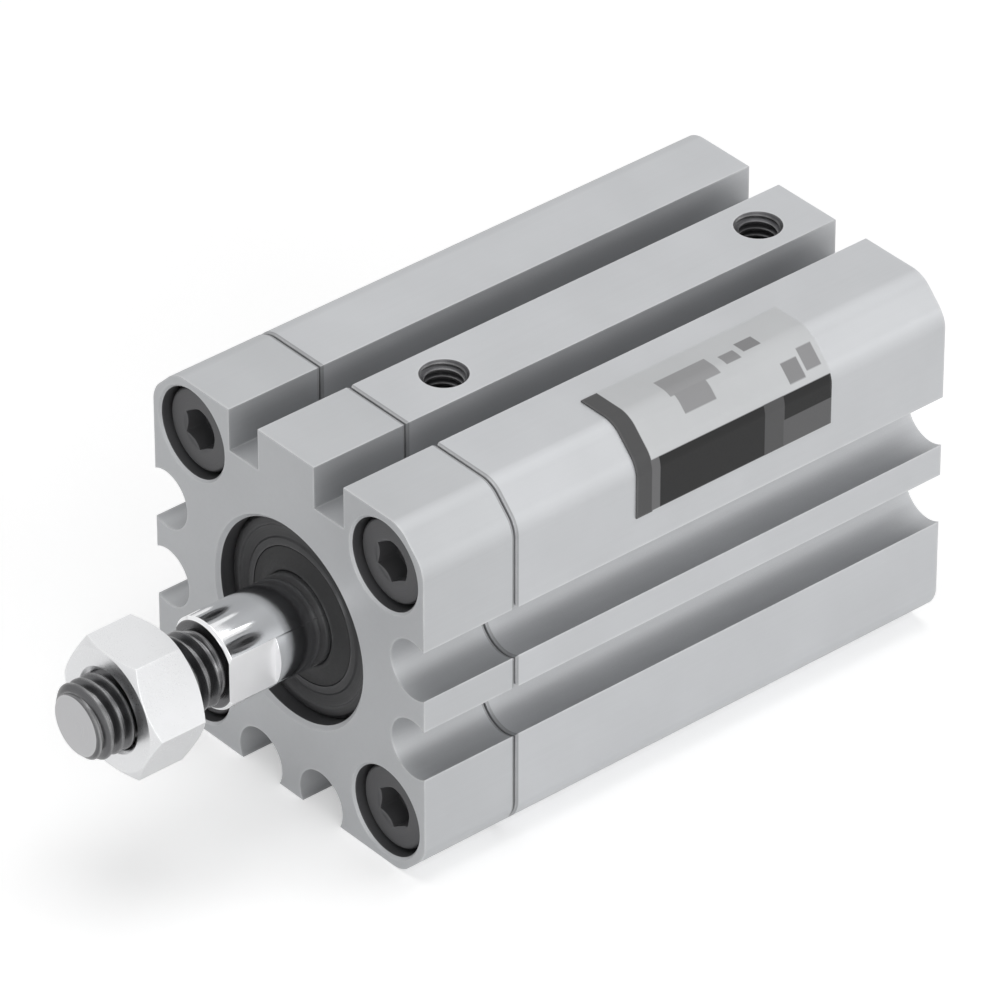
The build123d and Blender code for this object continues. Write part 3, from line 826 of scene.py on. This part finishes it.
@dataclass(frozen=True)
class Thread:
    """A right-hand screw thread round the z axis, modelled as a solid."""

    major: float
    pitch: float
    core_share: float = 0.61
    steps: int = 40
    crest_share: float = 1 / 16
    root_share: float = 0.4

    @property
    def core(self) -> float:
        """Radius at the thread's root."""
        return self.major - self.core_share * self.pitch

    def solid(self, name: str, low: float, high: float) -> bpy.types.Object:
        """Sweep one turn of the thread's section up the axis and close it.

        Args:
            name: The piece's name.
            low: Where the thread has to start.
            high: Where the thread has to end.

        Returns:
            A closed threaded bar that reaches past both ends by about a turn.
        """
        Bench.clear()
        crest, root = self.pitch * self.crest_share, self.pitch * self.root_share
        section = [
            (self.core, -self.pitch / 2), (self.core, -root), (self.major, -crest), (self.major, crest),
            (self.core, root), (self.core, self.pitch / 2),
        ]
        bpy.ops.mesh.primitive_circle_add(vertices=len(section), radius=1)
        piece = Bench.take_new(name)
        for vertex, (radius, height) in zip(piece.data.vertices, section):
            vertex.co = (radius, 0, low - self.pitch + height)
        with Bench.on_edges(piece, lambda ends: abs(ends[0].z - ends[1].z) > self.pitch / 2):
            bpy.ops.mesh.delete(type="EDGE")
        sweep = piece.modifiers.new("sweep", "SCREW")
        sweep.axis = "Z"
        sweep.angle = 2 * math.pi
        sweep.screw_offset = self.pitch
        sweep.iterations = math.ceil((high - low) / self.pitch) + 2
        sweep.steps = self.steps
        sweep.render_steps = self.steps
        sweep.use_merge_vertices = True
        sweep.merge_threshold = WELD
        bpy.ops.object.modifier_apply(modifier=sweep.name)
        with Bench.editing():
            bpy.ops.mesh.remove_doubles(threshold=WELD)
            bpy.ops.mesh.fill_holes(sides=0)
            bpy.ops.mesh.select_all(action="SELECT")
            bpy.ops.mesh.quads_convert_to_tris()
            bpy.ops.mesh.normals_make_consistent(inside=False)
        return piece

    def along_bore(self, name: str, low: float, high: float,
                   at: tuple[float, float] = (0, 0)) -> bpy.types.Object:
        """A threaded bar along the bore axis, or a line beside it.

        Args:
            name: The piece's name.
            low: Lowest y.
            high: Highest y.
            at: x and z of its middle line.

        Returns:
            The threaded bar.
        """
        piece = self.solid(name, low, high)
        Bench.pick(piece)
        piece.rotation_euler = (-math.pi / 2, 0, 0)
        bpy.ops.object.transform_apply(location=True, rotation=True, scale=True)
        return Bench.move(piece, (at[0], 0, at[1]))


@dataclass
class SlottedSection:
    """The outline that the tube and the housing share: a square with turned corners, slots and grooves."""

    half_side: float = 12.5
    turned_radius: float = 16.25
    slot_width: float = 2.7
    slot_depth: float = 2.9
    slot_offset: float = 3.95
    groove_radius: float = 2.0
    groove_depth: float = 3.0
    groove_offset: float = 2.85
    edge: float = 0.12
    joint_edge: float = 0.25
    joint_faces: int = 2
    flank_edge: float = 0.75
    flank_faces: int = 6

    def plain(self, name: str, low: float, high: float, grow: float = 0.0) -> bpy.types.Object:
        """The square with its corners turned off.

        Args:
            name: The piece's name.
            low: Lowest y.
            high: Highest y.
            grow: How far its sides stand out past the real ones.

        Returns:
            The block.
        """
        side = self.half_side + grow
        meet = math.sqrt((self.turned_radius + grow) ** 2 - side ** 2)
        block = Bench.box(name, (-side, low, -side), (side, high, side))
        corners = Bench.rod("corners", side + meet, (low - PAST, high + PAST), sides=4)
        Bench.join(block, [corners], Join.KEEP)

        def is_flank(ends: list[Vector]) -> bool:
            """Whether an edge runs along the block where a side meets a turned corner.

            Args:
                ends: Both ends of the edge.

            Returns:
                True for such an edge.
            """
            start, end = ends
            corner = sorted((abs(start.x), abs(start.z)))
            return abs(start.y - end.y) > PAST and math.dist(corner, (meet, side)) < ON_LINE

        return Bench.round_edges(block, self.flank_edge, self.flank_faces, is_flank)

    def cutters(self, low: float, high: float) -> list[bpy.types.Object]:
        """The bars that cut the two straight slots and the six round grooves.

        Args:
            low: Lowest y of the block.
            high: Highest y of the block.

        Returns:
            The bars, which reach past both ends.
        """
        tools = []
        reach = (low - PAST, high + PAST)
        half_slot = self.slot_width / 2
        slot_floor = self.half_side - self.slot_depth
        inward = self.half_side - self.groove_depth + self.groove_radius
        for side in (-1, 1):
            middle = side * self.slot_offset
            tools.append(Bench.box("slot", (middle - half_slot, reach[0], slot_floor),
                                   (middle + half_slot, reach[1], self.half_side + PAST)))
            across = side * self.groove_offset
            for place in ((inward, across), (-inward, across), (across, -inward)):
                tools.append(Bench.rod("groove", self.groove_radius, reach, place))
        return tools

    def block(self, name: str, low: float, high: float, joint: float) -> bpy.types.Object:
        """A length of the section with its edges rounded, and more so at its joint.

        Args:
            name: The piece's name.
            low: Lowest y.
            high: Highest y.
            joint: The y of the end that meets the other block.

        Returns:
            The block, in millimetres.
        """
        block = Bench.join(self.plain(name, low, high), self.cutters(low, high), Join.CUT)
        Bench.round_edges(block, self.joint_edge, self.joint_faces,
                          lambda ends: all(abs(end.y - joint) < ON_LINE for end in ends))
        return Bench.soften(block, self.edge)


@dataclass
class CylinderBody:
    """The tube and the front housing."""

    section: SlottedSection
    bore_radius: float = 6.0
    rear_seat_radius: float = 6.75
    rear_seat_lead: float = 0.2
    ring_groove_radius: float = 7.35
    ring_groove_play: float = 0.05
    flange_seat_radius: float = 7.75
    flange_seat_depth: float = 1.6
    nose_radius: float = 6.7
    nose_lead: float = 0.25
    corner_offset: float = 8.9
    counterbore_radius: float = 3.0
    counterbore_depth: float = 3.6
    counterbore_lead: float = 0.15
    screw_hole_radius: float = 1.7
    rear_thread: Thread = Thread(2.0, 0.7)
    rear_hole_depth: float = 8.0
    rear_mouth_depth: float = 0.5
    rear_mouth_lip: float = 0.1
    rear_trim: float = 0.5
    port_thread: Thread = Thread(1.5, 0.5)
    port_depth: float = 3.5
    port_mouth_depth: float = 0.45
    port_mouth_lip: float = 0.03
    port_trim: tuple[float, float] = (0.4, 0.6)
    port_stations: tuple[float, float] = (4.0, 28.9)
    orifice_radius: float = 0.55
    orifice_overlap: float = 0.1
    wall_margin: float = 0.2

    def corners(self) -> list[tuple[float, float]]:
        """x and z of the four corner holes."""
        return [(x * self.corner_offset, z * self.corner_offset) for x in (-1, 1) for z in (-1, 1)]

    def bore_cutter(self, front: float) -> bpy.types.Object:
        """The bore with the rear cover's seat, the snap ring's groove and the rod cover's seat.

        Args:
            front: The y of the tube's front end.

        Returns:
            The cutter. It crosses the rear face at a slant, so that no ring of it lies in that face.
        """
        cover_rear, cover_front = (-place for place in reversed(stations("rear_cover")))
        ring_rear = -stations("rear_snap_ring")[1] - self.ring_groove_play
        seat = -front - self.flange_seat_depth
        lead = self.rear_seat_lead
        steps = [
            (self.rear_seat_radius + 2 * lead, -lead), (self.rear_seat_radius, lead),
            (self.rear_seat_radius, ring_rear),
            (self.ring_groove_radius, ring_rear), (self.ring_groove_radius, cover_rear),
            (self.rear_seat_radius, cover_rear), (self.rear_seat_radius, cover_front),
            (self.bore_radius, cover_front), (self.bore_radius, seat),
            (self.flange_seat_radius, seat), (self.flange_seat_radius, -front + PAST),
        ]
        return Bench.turned("bore", [(radius, -station) for radius, station in steps], sides=FINE)

    @staticmethod
    def mouth(thread: Thread, face: float, depth: float, lip: float, axis: Axis) -> bpy.types.Object:
        """The countersink of a tapped hole. It crosses the face at a slant, so that no ring of it lies there.

        Args:
            thread: The hole's thread.
            face: Where the hole opens, along its axis.
            depth: How deep the countersink goes.
            lip: How far it is wider than the thread at the face.
            axis: The hole's axis.

        Returns:
            The cutter.
        """
        wide = thread.major + lip
        cone = [(thread.core, face - depth), (2 * wide - thread.core, face + depth)]
        return Bench.turned("mouth", cone, axis, SMALL)

    def port_cutters(self, station: float) -> list[bpy.types.Object]:
        """The cutters of one port.

        Args:
            station: How far forward of the rear face the port lies.

        Returns:
            The threaded hole, its countersink and the orifice below it.
        """
        top = self.section.half_side
        floor = top - self.port_depth
        thread = self.port_thread
        hole = thread.solid("port", floor, top)
        wider, over = self.port_trim
        room = [(thread.major + wider, floor), (thread.major + wider, top + over)]
        Bench.join(hole, [Bench.turned("port_room", room, Axis.PORT, SMALL)], Join.KEEP)
        mouth = self.mouth(thread, top, self.port_mouth_depth, self.port_mouth_lip, Axis.PORT)
        narrow = self.orifice_radius
        way = [(narrow, self.bore_radius - PAST), (narrow, floor + self.orifice_overlap)]
        orifice = Bench.turned("orifice", way, Axis.PORT, SMALL)
        return [Bench.move(tool, (0, -station, 0)) for tool in (hole, mouth, orifice)]

    def rear_hole_cutters(self, place: tuple[float, float]) -> list[bpy.types.Object]:
        """The cutters of one tapped hole in the rear face.

        Args:
            place: x and z of the hole.

        Returns:
            The threaded hole and its countersink.
        """
        thread = self.rear_thread
        hole = thread.along_bore("rear_hole", -self.rear_hole_depth, 0, place)
        room = Bench.rod("room", thread.major + self.rear_trim, (-self.rear_hole_depth, PAST), place, SMALL)
        Bench.join(hole, [room], Join.KEEP)
        mouth = self.mouth(thread, 0, self.rear_mouth_depth, self.rear_mouth_lip, Axis.BORE)
        return [hole, Bench.move(mouth, (place[0], 0, place[1]))]

    def in_tapped_hole(self, place: Vector) -> bool:
        """Whether a point lies on the wall of a port or of a tapped rear hole.

        Args:
            place: The point, in millimetres.

        Returns:
            True on such a wall.
        """
        reach = self.port_thread.major + self.wall_margin
        port = any(math.hypot(place.x, place.y + station) < reach for station in self.port_stations)
        reach = self.rear_thread.major + self.wall_margin
        rear = any(math.hypot(place.x - x, place.z - z) < reach for x, z in self.corners())
        in_port = port and 0 < place.z < self.section.half_side - ON_LINE
        return in_port or (rear and -self.rear_hole_depth - ON_LINE < place.y < -ON_LINE)

    def in_housing_hole(self, place: Vector, front: float) -> bool:
        """Whether a point lies on the wall of the housing's nose hole or of a counterbore.

        Args:
            place: The point, in millimetres.
            front: The y of the housing's front face.

        Returns:
            True on such a wall.
        """
        inside = place.y > front + self.counterbore_lead + ON_FACE
        reach = self.counterbore_radius + ON_LINE
        corner = any(math.hypot(place.x - x, place.z - z) < reach for x, z in self.corners())
        return inside and (corner or math.hypot(place.x, place.z) < self.nose_radius + ON_LINE)

    def build_tube(self) -> None:
        """Model the slotted tube with its bore, ports and tapped rear holes."""
        front, rear = stations("cylinder_tube")
        tube = self.section.block("tube_body", front, rear, front)
        Bench.join(tube, [self.bore_cutter(front)], Join.CUT)
        for station in self.port_stations:
            Bench.join(tube, self.port_cutters(station), Join.CUT)
        for place in self.corners():
            Bench.join(tube, self.rear_hole_cutters(place), Join.CUT)
        Bench.finish(tube, Body.CYLINDER, TUBE_FINISH, ["cylinder_tube"])
        # Painted shade on the walls of the tapped holes.
        Bench.tint(tube, HOLE_SHADE_FINISH, self.in_tapped_hole)
        joint = self.section.joint_edge
        # Painted shade on the bevels at the joint.
        Bench.tint(tube, TUBE_JOINT_SHADE_FINISH, lambda place: ON_FACE < place.y - front < joint)

    def build_housing(self) -> None:
        """Model the front housing with its nose hole and counterbores."""
        front, rear = stations("front_housing")
        housing = self.section.block("housing_block", front, rear, rear)
        wide = self.nose_radius + self.nose_lead
        steps = [(self.nose_radius, rear + PAST), (self.nose_radius, front + self.nose_lead), (wide, front),
                 (wide, front - PAST)]
        Bench.join(housing, [Bench.turned("nose_hole", steps, sides=FINE)], Join.CUT)
        floor = front + self.counterbore_depth
        wide = self.counterbore_radius + self.counterbore_lead
        hole = [(self.screw_hole_radius, rear + PAST), (self.screw_hole_radius, floor),
                (self.counterbore_radius, floor), (self.counterbore_radius, front + self.counterbore_lead),
                (wide, front), (wide, front - PAST)]
        for x, z in self.corners():
            Bench.join(housing, [Bench.move(Bench.turned("counterbore", hole), (x, 0, z))], Join.CUT)
        Bench.finish(housing, Body.CYLINDER, HOUSING_SHADE_FINISH, ["front_housing"])
        Bench.tint(housing, BORED_FINISH, lambda place: self.in_housing_hole(place, front))
        joint = self.section.joint_edge
        # Painted shade on the bevels at the joint.
        Bench.tint(housing, HOUSING_JOINT_SHADE_FINISH, lambda place: ON_FACE < rear - place.y < joint)

    def build(self) -> None:
        """Build both blocks."""
        self.build_tube()
        self.build_housing()


@dataclass
class HousingScrews:
    """Four socket head screws in the housing's counterbores."""

    corner_offset: float = 8.9
    head_radius: float = 2.75
    head_height: float = 3.0
    head_edge: float = 0.22
    head_edge_knee: float = 0.3
    shank_radius: float = 1.5
    threaded_radius: float = 1.23
    tip_radius: float = 1.2
    tip_length: float = 0.3
    socket_flats: float = 2.5
    socket_depth: float = 1.5
    socket_lead: tuple[float, float] = (0.25, 0.02)
    socket_inset: float = 0.1
    socket_room: float = 0.05
    edge: float = 0.04

    def model(self) -> bpy.types.Object:
        """Model one screw on the bore axis.

        Returns:
            The screw, which is the master of all four.
        """
        front, rear = stations("housing_screws")
        joint = stations("cylinder_tube")[0]
        under_head = front + self.head_height
        knee = self.head_edge * self.head_edge_knee
        screw = Bench.turned("screw", [
            (self.tip_radius, rear), (self.threaded_radius, rear - self.tip_length),
            (self.threaded_radius, joint), (self.shank_radius, joint), (self.shank_radius, under_head),
            (self.head_radius, under_head), (self.head_radius, front + self.head_edge),
            (self.head_radius - knee, front + knee), (self.head_radius - self.head_edge, front),
        ])
        corner = self.socket_flats / math.sqrt(3)
        socket = Bench.rod("socket", corner, (front - PAST, front + self.socket_depth), sides=HEXAGON)
        deep, shallow = self.socket_lead
        wide = corner + self.socket_room
        lead = Bench.turned("lead", [
            (self.socket_flats / 2 - self.socket_inset, front + deep), (wide, front - shallow),
            (wide, front - PAST),
        ], sides=SMALL)
        return Bench.join(Bench.soften(screw, self.edge), [socket, lead], Join.CUT)

    def build(self) -> None:
        """Copy the screw to the four corners."""
        master = self.model()
        half = self.corner_offset
        for number, (x, z) in enumerate([(-half, half), (half, half), (-half, -half), (half, -half)], 1):
            piece = Bench.copy(master, f"housing_screw_{number}", (x, 0, z))
            finish = replace(SCREW_FINISH, name=f"black_oxide_{number}", centre=(x * MM, z * MM))
            Bench.finish(piece, Body.CYLINDER, finish, ["housing_screws"])
        bpy.data.objects.remove(master, do_unlink=True)


@dataclass
class FrontClosure:
    """The rod cover and the wiper in its mouth."""

    hole_radius: float = 3.15
    spigot_radius: float = 5.97
    nose_radius: float = 6.65
    flange_depth: float = 1.6
    edge: float = 0.25
    rim: float = 0.75
    face_step: float = 0.12
    step_slant: float = 0.1
    mouth_rim: float = 0.5
    wiper_play: float = 0.02
    wiper_radius: float = 4.5
    wiper_depth: float = 1.3
    wiper_bore: float = 3.03
    wiper_back: float = 0.45
    wiper_edge: tuple[float, float] = (0.08, 0.06)
    lip_root: float = 0.85
    lip_outside: tuple[float, float] = (0.4, 0.05)
    lip_tip: float = 0.15
    lip_land: float = 0.12
    throat_start: float = 0.35
    throat: tuple[float, float] = (0.25, 0.7)
    small_edge: float = 0.05

    def build(self) -> None:
        """Model the turned collar and its wiper."""
        front = self.build_collar()
        self.build_wiper(front)

    def build_collar(self) -> float:
        """Model the turned collar.

        Returns:
            The y of its front face.
        """
        front, rear = stations("rod_cover")
        flange = half_width("rod_cover")
        joint = stations("front_housing")[1]
        under_flange = joint + self.flange_depth
        floor = front + self.face_step
        seat = self.wiper_radius + self.wiper_play
        seat_floor = front + self.wiper_depth
        collar = Bench.turned("rod_collar", [
            (self.hole_radius, rear), (self.spigot_radius, rear), (self.spigot_radius, under_flange),
            (flange, under_flange), (flange, joint), (self.nose_radius, joint),
            (self.nose_radius, front + self.edge), (self.nose_radius - self.edge, front),
            (self.nose_radius - self.rim, front), (self.nose_radius - self.rim - self.step_slant, floor),
            (self.wiper_radius + self.mouth_rim + self.step_slant, floor),
            (self.wiper_radius + self.mouth_rim, front), (seat, front), (seat, seat_floor),
            (self.hole_radius, seat_floor),
        ], sides=FINE, closed=True)
        Bench.finish(Bench.soften(collar, self.small_edge), Body.CYLINDER, COLLAR_FINISH, ["rod_cover"])
        return front

    def build_wiper(self, front: float) -> None:
        """Model the wiper, from its back face over its outside and its lip to the bore.

        Args:
            front: The y of the collar's front face.
        """
        tip, base = stations("rod_wiper")
        bore, outer = self.wiper_bore, self.wiper_radius
        (edge, edge_depth), (outside, outside_depth) = self.wiper_edge, self.lip_outside
        wiper = Bench.turned("wiper_lip", [
            (bore + self.wiper_back, base), (outer, base), (outer, front + edge_depth), (outer - edge, front),
            (bore + self.lip_root, front), (bore + outside, tip + outside_depth), (bore + self.lip_tip, tip),
            (bore, tip + self.lip_land), (bore, front + self.throat_start),
            (bore + self.throat[0], front + self.throat[1]),
        ], sides=FINE, closed=True)
        Bench.finish(wiper, Body.CYLINDER, RUBBER_FINISH, ["rod_wiper"], 60)


@dataclass
class RodEnd:
    """The piston rod with its flats and thread, and the lock nut on it."""

    radius: float = 3.0
    tail_radius: float = 2.0
    tail_core: float = 1.65
    pocket_depth: float = 1.5
    shoulder_edge: float = 0.2
    flat_span: float = 5.0
    flat_length: float = 3.5
    rod_edge: float = 0.06
    thread: Thread = Thread(2.5, 0.8, steps=64)
    thread_length: float = 9.5
    thread_play: float = 0.01
    relief_length: float = 0.45
    relief_slant: float = 0.6
    relief_lead: float = 0.1
    tip_edge: float = 0.55
    nut_bore_lead: float = 0.3
    nut_chamfer: float = 30.0
    nut_face_inset: float = 0.05
    nut_corner_room: tuple[float, float] = (0.02, 0.04)
    nut_edge: float = 0.07

    def build_rod(self) -> None:
        """Model the ground rod with its flats, and the thread that is cut on its end."""
        tip, tail = stations("piston_rod")
        start = tip + self.thread_length
        nut_seat = stations("piston_nut")[0]
        shoulder = stations("piston_front")[0] + self.pocket_depth
        core = self.thread.core
        lead = self.relief_lead
        bar = Bench.turned("rod_bar", [
            (self.tail_core, tail), (self.tail_core, nut_seat), (self.tail_radius, nut_seat),
            (self.tail_radius, shoulder), (self.radius, shoulder), (self.radius, start + self.shoulder_edge),
            (self.radius - self.shoulder_edge, start), (core + lead, start), (core, start - lead),
            (core, start - self.relief_length),
        ], sides=FINE)
        tall = self.radius + PAST
        for side in (-1, 1):
            near, far = sorted((side * self.flat_span / 2, side * tall))
            flat = Bench.box("flat", (near, start - self.shoulder_edge, -tall),
                             (far, start + self.flat_length, tall))
            Bench.join(bar, [flat], Join.CUT)
        Bench.finish(Bench.soften(bar, self.rod_edge), Body.ROD, CHROME_FINISH, ["piston_rod"])
        # Painted shade on the relief below the shoulder.
        Bench.tint(bar, THREAD_SHADE_FINISH, lambda place: place.y < start + self.rod_edge / 2)
        Bench.tint(bar, FLAT_FINISH, lambda place: abs(abs(place.x) - self.flat_span / 2) < ON_FACE)
        self.build_thread(tip, start)

    def build_thread(self, tip: float, start: float) -> None:
        """Model the thread, trimmed by a bar that runs out into the relief and tapers at the tip.

        Args:
            tip: The y of the rod's tip.
            start: The y of the rod's shoulder.
        """
        cut = self.thread.along_bore("rod_thread", tip, start)
        wide = self.thread.major + self.thread_play
        room = Bench.turned("thread_room", [
            (self.thread.core + 2 * self.thread_play, start - self.relief_length * self.relief_slant),
            (wide, start - self.relief_length), (wide, tip + self.tip_edge),
            (self.thread.major - self.tip_edge, tip),
        ], sides=FINE)
        Bench.join(cut, [room], Join.KEEP)
        # Painted shade on the thread.
        Bench.finish(cut, Body.ROD, THREAD_SHADE_FINISH, [], 35)
        Bench.tint(cut, TIP_FINISH, lambda place: place.y < tip + ON_FACE)

    def build_nut(self) -> None:
        """Model the lock nut from a six-sided bar, chamfered on both faces."""
        front, rear = stations("rod_end_nut")
        corner = half_width("rod_end_nut")
        flats = corner * math.sqrt(3) / 2
        nut = Bench.rod("lock_nut", corner, (front, rear), sides=HEXAGON)
        Bench.pick(nut)
        with Bench.editing():
            turn = math.pi / HEXAGON
            bpy.ops.transform.rotate(value=turn, orient_axis="Y", center_override=(0, 0, 0))
        wider, deeper = self.nut_corner_room
        relief = (corner - flats) * math.tan(math.radians(self.nut_chamfer)) + deeper
        face = flats - self.nut_face_inset
        barrel = Bench.turned("barrel", [
            (face, front), (corner + wider, front + relief), (corner + wider, rear - relief), (face, rear),
        ], sides=FINE)
        Bench.join(nut, [barrel], Join.KEEP)
        lead = self.nut_bore_lead
        bore = self.thread.major + self.thread_play
        hole = Bench.turned("nut_bore", [
            (bore + lead, front - PAST), (bore + lead, front), (bore, front + lead), (bore, rear - lead),
            (bore + lead, rear), (bore + lead, rear + PAST),
        ], sides=FINE)
        Bench.join(nut, [hole], Join.CUT)
        Bench.finish(Bench.soften(nut, self.nut_edge, 3, 25), Body.NUT, NUT_FINISH, ["rod_end_nut"])


@dataclass
class RearClosure:
    """The rear cover and the snap ring that holds it."""

    dish_radius: float = 3.5
    dish_depth: float = 0.8
    dish_slant: float = 0.4
    groove_depth: float = 0.8
    groove_half_width: float = 0.65
    outer_edge: float = 0.2
    inner_edge: float = 0.1
    centre_radius: float = 0.02
    cover_edge: float = 0.05
    band: float = 1.4
    eye_radius: float = 1.1
    eye_hole: float = 0.5
    eye_angle: float = 24.0
    opening_rise: float = 2.0
    ring_edge: float = 0.06

    def build(self) -> None:
        """Build the cover and the ring."""
        self.build_cover()
        self.build_ring()

    def build_cover(self) -> None:
        """Model the turned disc with its dish and the groove of its O-ring."""
        front, rear = stations("rear_cover")
        outer = half_width("rear_cover")
        inner = outer - self.groove_depth
        middle = (front + rear) / 2
        low, high = middle - self.groove_half_width, middle + self.groove_half_width
        floor = rear - self.dish_depth
        disc = Bench.turned("rear_disc", [
            (self.centre_radius, floor), (self.dish_radius - self.dish_slant, floor),
            (self.dish_radius, rear), (outer - self.outer_edge, rear), (outer, rear - self.outer_edge),
            (outer, high), (inner, high), (inner, low), (outer, low), (outer, front + self.inner_edge),
            (outer - self.inner_edge, front), (self.centre_radius, front),
        ], sides=FINE)
        Bench.finish(Bench.soften(disc, self.cover_edge), Body.CYLINDER, COLLAR_FINISH, ["rear_cover"])

    def build_ring(self) -> None:
        """Model the ring, open at the bottom between its two eyes."""
        low, high = stations("rear_snap_ring")
        ends = (low - PAST, high + PAST)
        reach = half_width("rear_snap_ring")
        inner = reach - self.band
        profile = [(inner, low), (reach, low), (reach, high), (inner, high)]
        ring = Bench.turned("snap_ring", profile, sides=FINE, closed=True)
        eye_path = inner - self.eye_radius + self.band / 2
        turn = math.radians(self.eye_angle)
        aside, down = eye_path * math.sin(turn), -eye_path * math.cos(turn)
        gap = Bench.box("gap", (-aside, ends[0], -reach - PAST),
                        (aside, ends[1], -eye_path + self.opening_rise))
        Bench.join(ring, [gap], Join.CUT)
        places = [(-aside, down), (aside, down)]
        eyes = [Bench.rod("eye", self.eye_radius, (low, high), place, SMALL) for place in places]
        Bench.join(ring, eyes, Join.ADD)
        Bench.join(ring, [Bench.rod("hole", self.eye_hole, ends, place, SMALL) for place in places], Join.CUT)
        Bench.finish(Bench.soften(ring, self.ring_edge), Body.CYLINDER, RING_FINISH, ["rear_snap_ring"])


@dataclass
class Nameplate:
    """The film wrapped round the upper right corner."""

    section: SlottedSection
    top_edge: float = 7.5
    side_edge: float = 6.8
    thickness: float = 0.1
    room: float = 20.0

    def build(self) -> None:
        """Model the film as the gap between two outlines, trimmed to its own size."""
        front, rear = stations("nameplate_label")
        film = self.section.plain("label", front, rear, self.thickness)
        inside = self.section.plain("inside", front - PAST, rear + PAST)
        Bench.join(film, [inside], Join.CUT)
        window = Bench.box("window", (self.top_edge, front - PAST, self.side_edge),
                           (self.room, rear + PAST, self.room))
        Bench.join(film, [window], Join.KEEP)
        Bench.finish(film, Body.CYLINDER, LABEL_FINISH, ["nameplate_label"])


class InnerPieces:
    """The CAD nodes that stay as they are, and only get their finish."""

    @staticmethod
    def dress() -> None:
        """Put each inner piece's material in its slot."""
        for finish, nodes in INNER_FINISHES:
            for node in nodes:
                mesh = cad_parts[node].data
                mesh.materials.clear()
                mesh.materials.append(finish.material())
                LOG.info("%s: %s", node, finish.name)


@dataclass(frozen=True)
class Lamp:
    """One soft rectangular light."""

    name: str
    place: Point
    size: tuple[float, float]
    power: float

    def build(self, target: Vector) -> None:
        """Put the lamp up.

        Args:
            target: The point that it faces.
        """
        data = bpy.data.lights.new(self.name, "AREA")
        data.shape = "RECTANGLE"
        data.size, data.size_y = self.size
        data.energy = self.power
        lamp = bpy.data.objects.new(self.name, data)
        lamp.location = self.place
        lamp.rotation_euler = (target - Vector(self.place)).to_track_quat("-Z", "Y").to_euler()
        bpy.context.scene.collection.objects.link(lamp)


@dataclass
class Studio:
    """White surroundings, soft lamps, a floor and the camera."""

    camera_place: Point = (0.32630, -0.30183, 0.29881)
    camera_target: Point = (0.01935, -0.041, 0.019075)
    lens: float = 312.1
    sensor: float = 36.0
    fill: float = 0.32
    lamps: tuple[Lamp, ...] = (
        Lamp("overhead", (0.0, 0.0, 0.55), (0.45, 0.45), 1.17),
        Lamp("right_front", (0.5, -0.35, 0.25), (0.3, 0.3), 0.65),
        Lamp("right_rear", (0.38, 0.5, 0.22), (0.25, 0.25), 0.52),
        Lamp("right_low", (0.6, -0.05, 0.12), (0.3, 0.3), 0.67),
    )
    floor_size: float = 4.0
    floor_glow: float = 0.35
    floor_mirrored: float = 0.8
    clip: tuple[float, float] = (0.01, 10.0)

    def build(self) -> None:
        """Build the whole studio."""
        self.world()
        self.floor()
        target = Vector(self.camera_target)
        for lamp in self.lamps:
            lamp.build(target)
        self.camera(target)
        bpy.context.scene.view_settings.view_transform = "Standard"

    def world(self) -> None:
        """White where it is seen or mirrored, and a plain soft light elsewhere."""
        world = bpy.data.worlds.new("studio")
        bpy.context.scene.world = world
        world.use_nodes = True
        graph = Graph(world.node_tree)
        path = graph.add("LightPath")
        seen = graph.math("MAXIMUM", path.outputs["Is Camera Ray"], path.outputs["Is Transmission Ray"])
        shown = graph.math("MAXIMUM", seen, path.outputs["Is Glossy Ray"])
        soft = graph.add("Background", {"Color": (1, 1, 1, 1), "Strength": self.fill})
        white = graph.add("Background", {"Color": (1, 1, 1, 1), "Strength": 1.0})
        mixed = graph.add("MixShader", {0: shown, 1: soft.outputs[0], 2: white.outputs[0]})
        graph.add("OutputWorld", {"Surface": mixed.outputs[0]})

    def floor(self) -> None:
        """A pale floor under the body, lit a little by itself where it is seen or mirrored."""
        Bench.clear()
        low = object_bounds()[0]
        bpy.ops.mesh.primitive_plane_add(size=self.floor_size, location=(0, 0, low[2]))
        floor = Bench.take_new("floor")
        made = bpy.data.materials.new("white_floor")
        made.use_nodes = True
        graph = Graph(made.node_tree)
        path = graph.add("LightPath")
        lit = graph.add("BsdfDiffuse", {"Color": (0.96, 0.96, 0.96, 1)})
        bright = graph.add("Emission", {"Color": (1, 1, 1, 1), "Strength": self.floor_glow})
        mirrored = graph.math("MULTIPLY", path.outputs["Is Glossy Ray"], self.floor_mirrored)
        shown = graph.math("MAXIMUM", path.outputs["Is Camera Ray"], mirrored)
        seen = graph.add("MixShader", {0: shown, 2: bright.outputs[0]})
        total = graph.add("AddShader", {0: lit.outputs[0], 1: seen.outputs[0]})
        graph.add("OutputMaterial", {"Surface": total.outputs[0]})
        floor.data.materials.append(made)
        floor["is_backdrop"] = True

    def camera(self, target: Vector) -> None:
        """Put the camera at the photograph's place.

        Args:
            target: The point that it faces.
        """
        data = bpy.data.cameras.new("camera")
        data.lens = self.lens
        data.sensor_width = self.sensor
        data.clip_start, data.clip_end = self.clip
        camera = bpy.data.objects.new("camera", data)
        camera.location = self.camera_place
        camera.rotation_mode = "QUATERNION"
        camera.rotation_quaternion = (target - Vector(self.camera_place)).to_track_quat("-Z", "Y")
        bpy.context.scene.collection.objects.link(camera)
        bpy.context.scene.camera = camera


def main() -> None:
    """Build the pieces in order."""
    logging.basicConfig(level=logging.INFO, format="%(name)s %(message)s")
    section = SlottedSection()
    CylinderBody(section).build()
    HousingScrews().build()
    FrontClosure().build()
    rod_end = RodEnd()
    rod_end.build_rod()
    rod_end.build_nut()
    RearClosure().build()
    Nameplate(section).build()
    InnerPieces.dress()
    Studio().build()


if __name__ == "__main__":
    main()
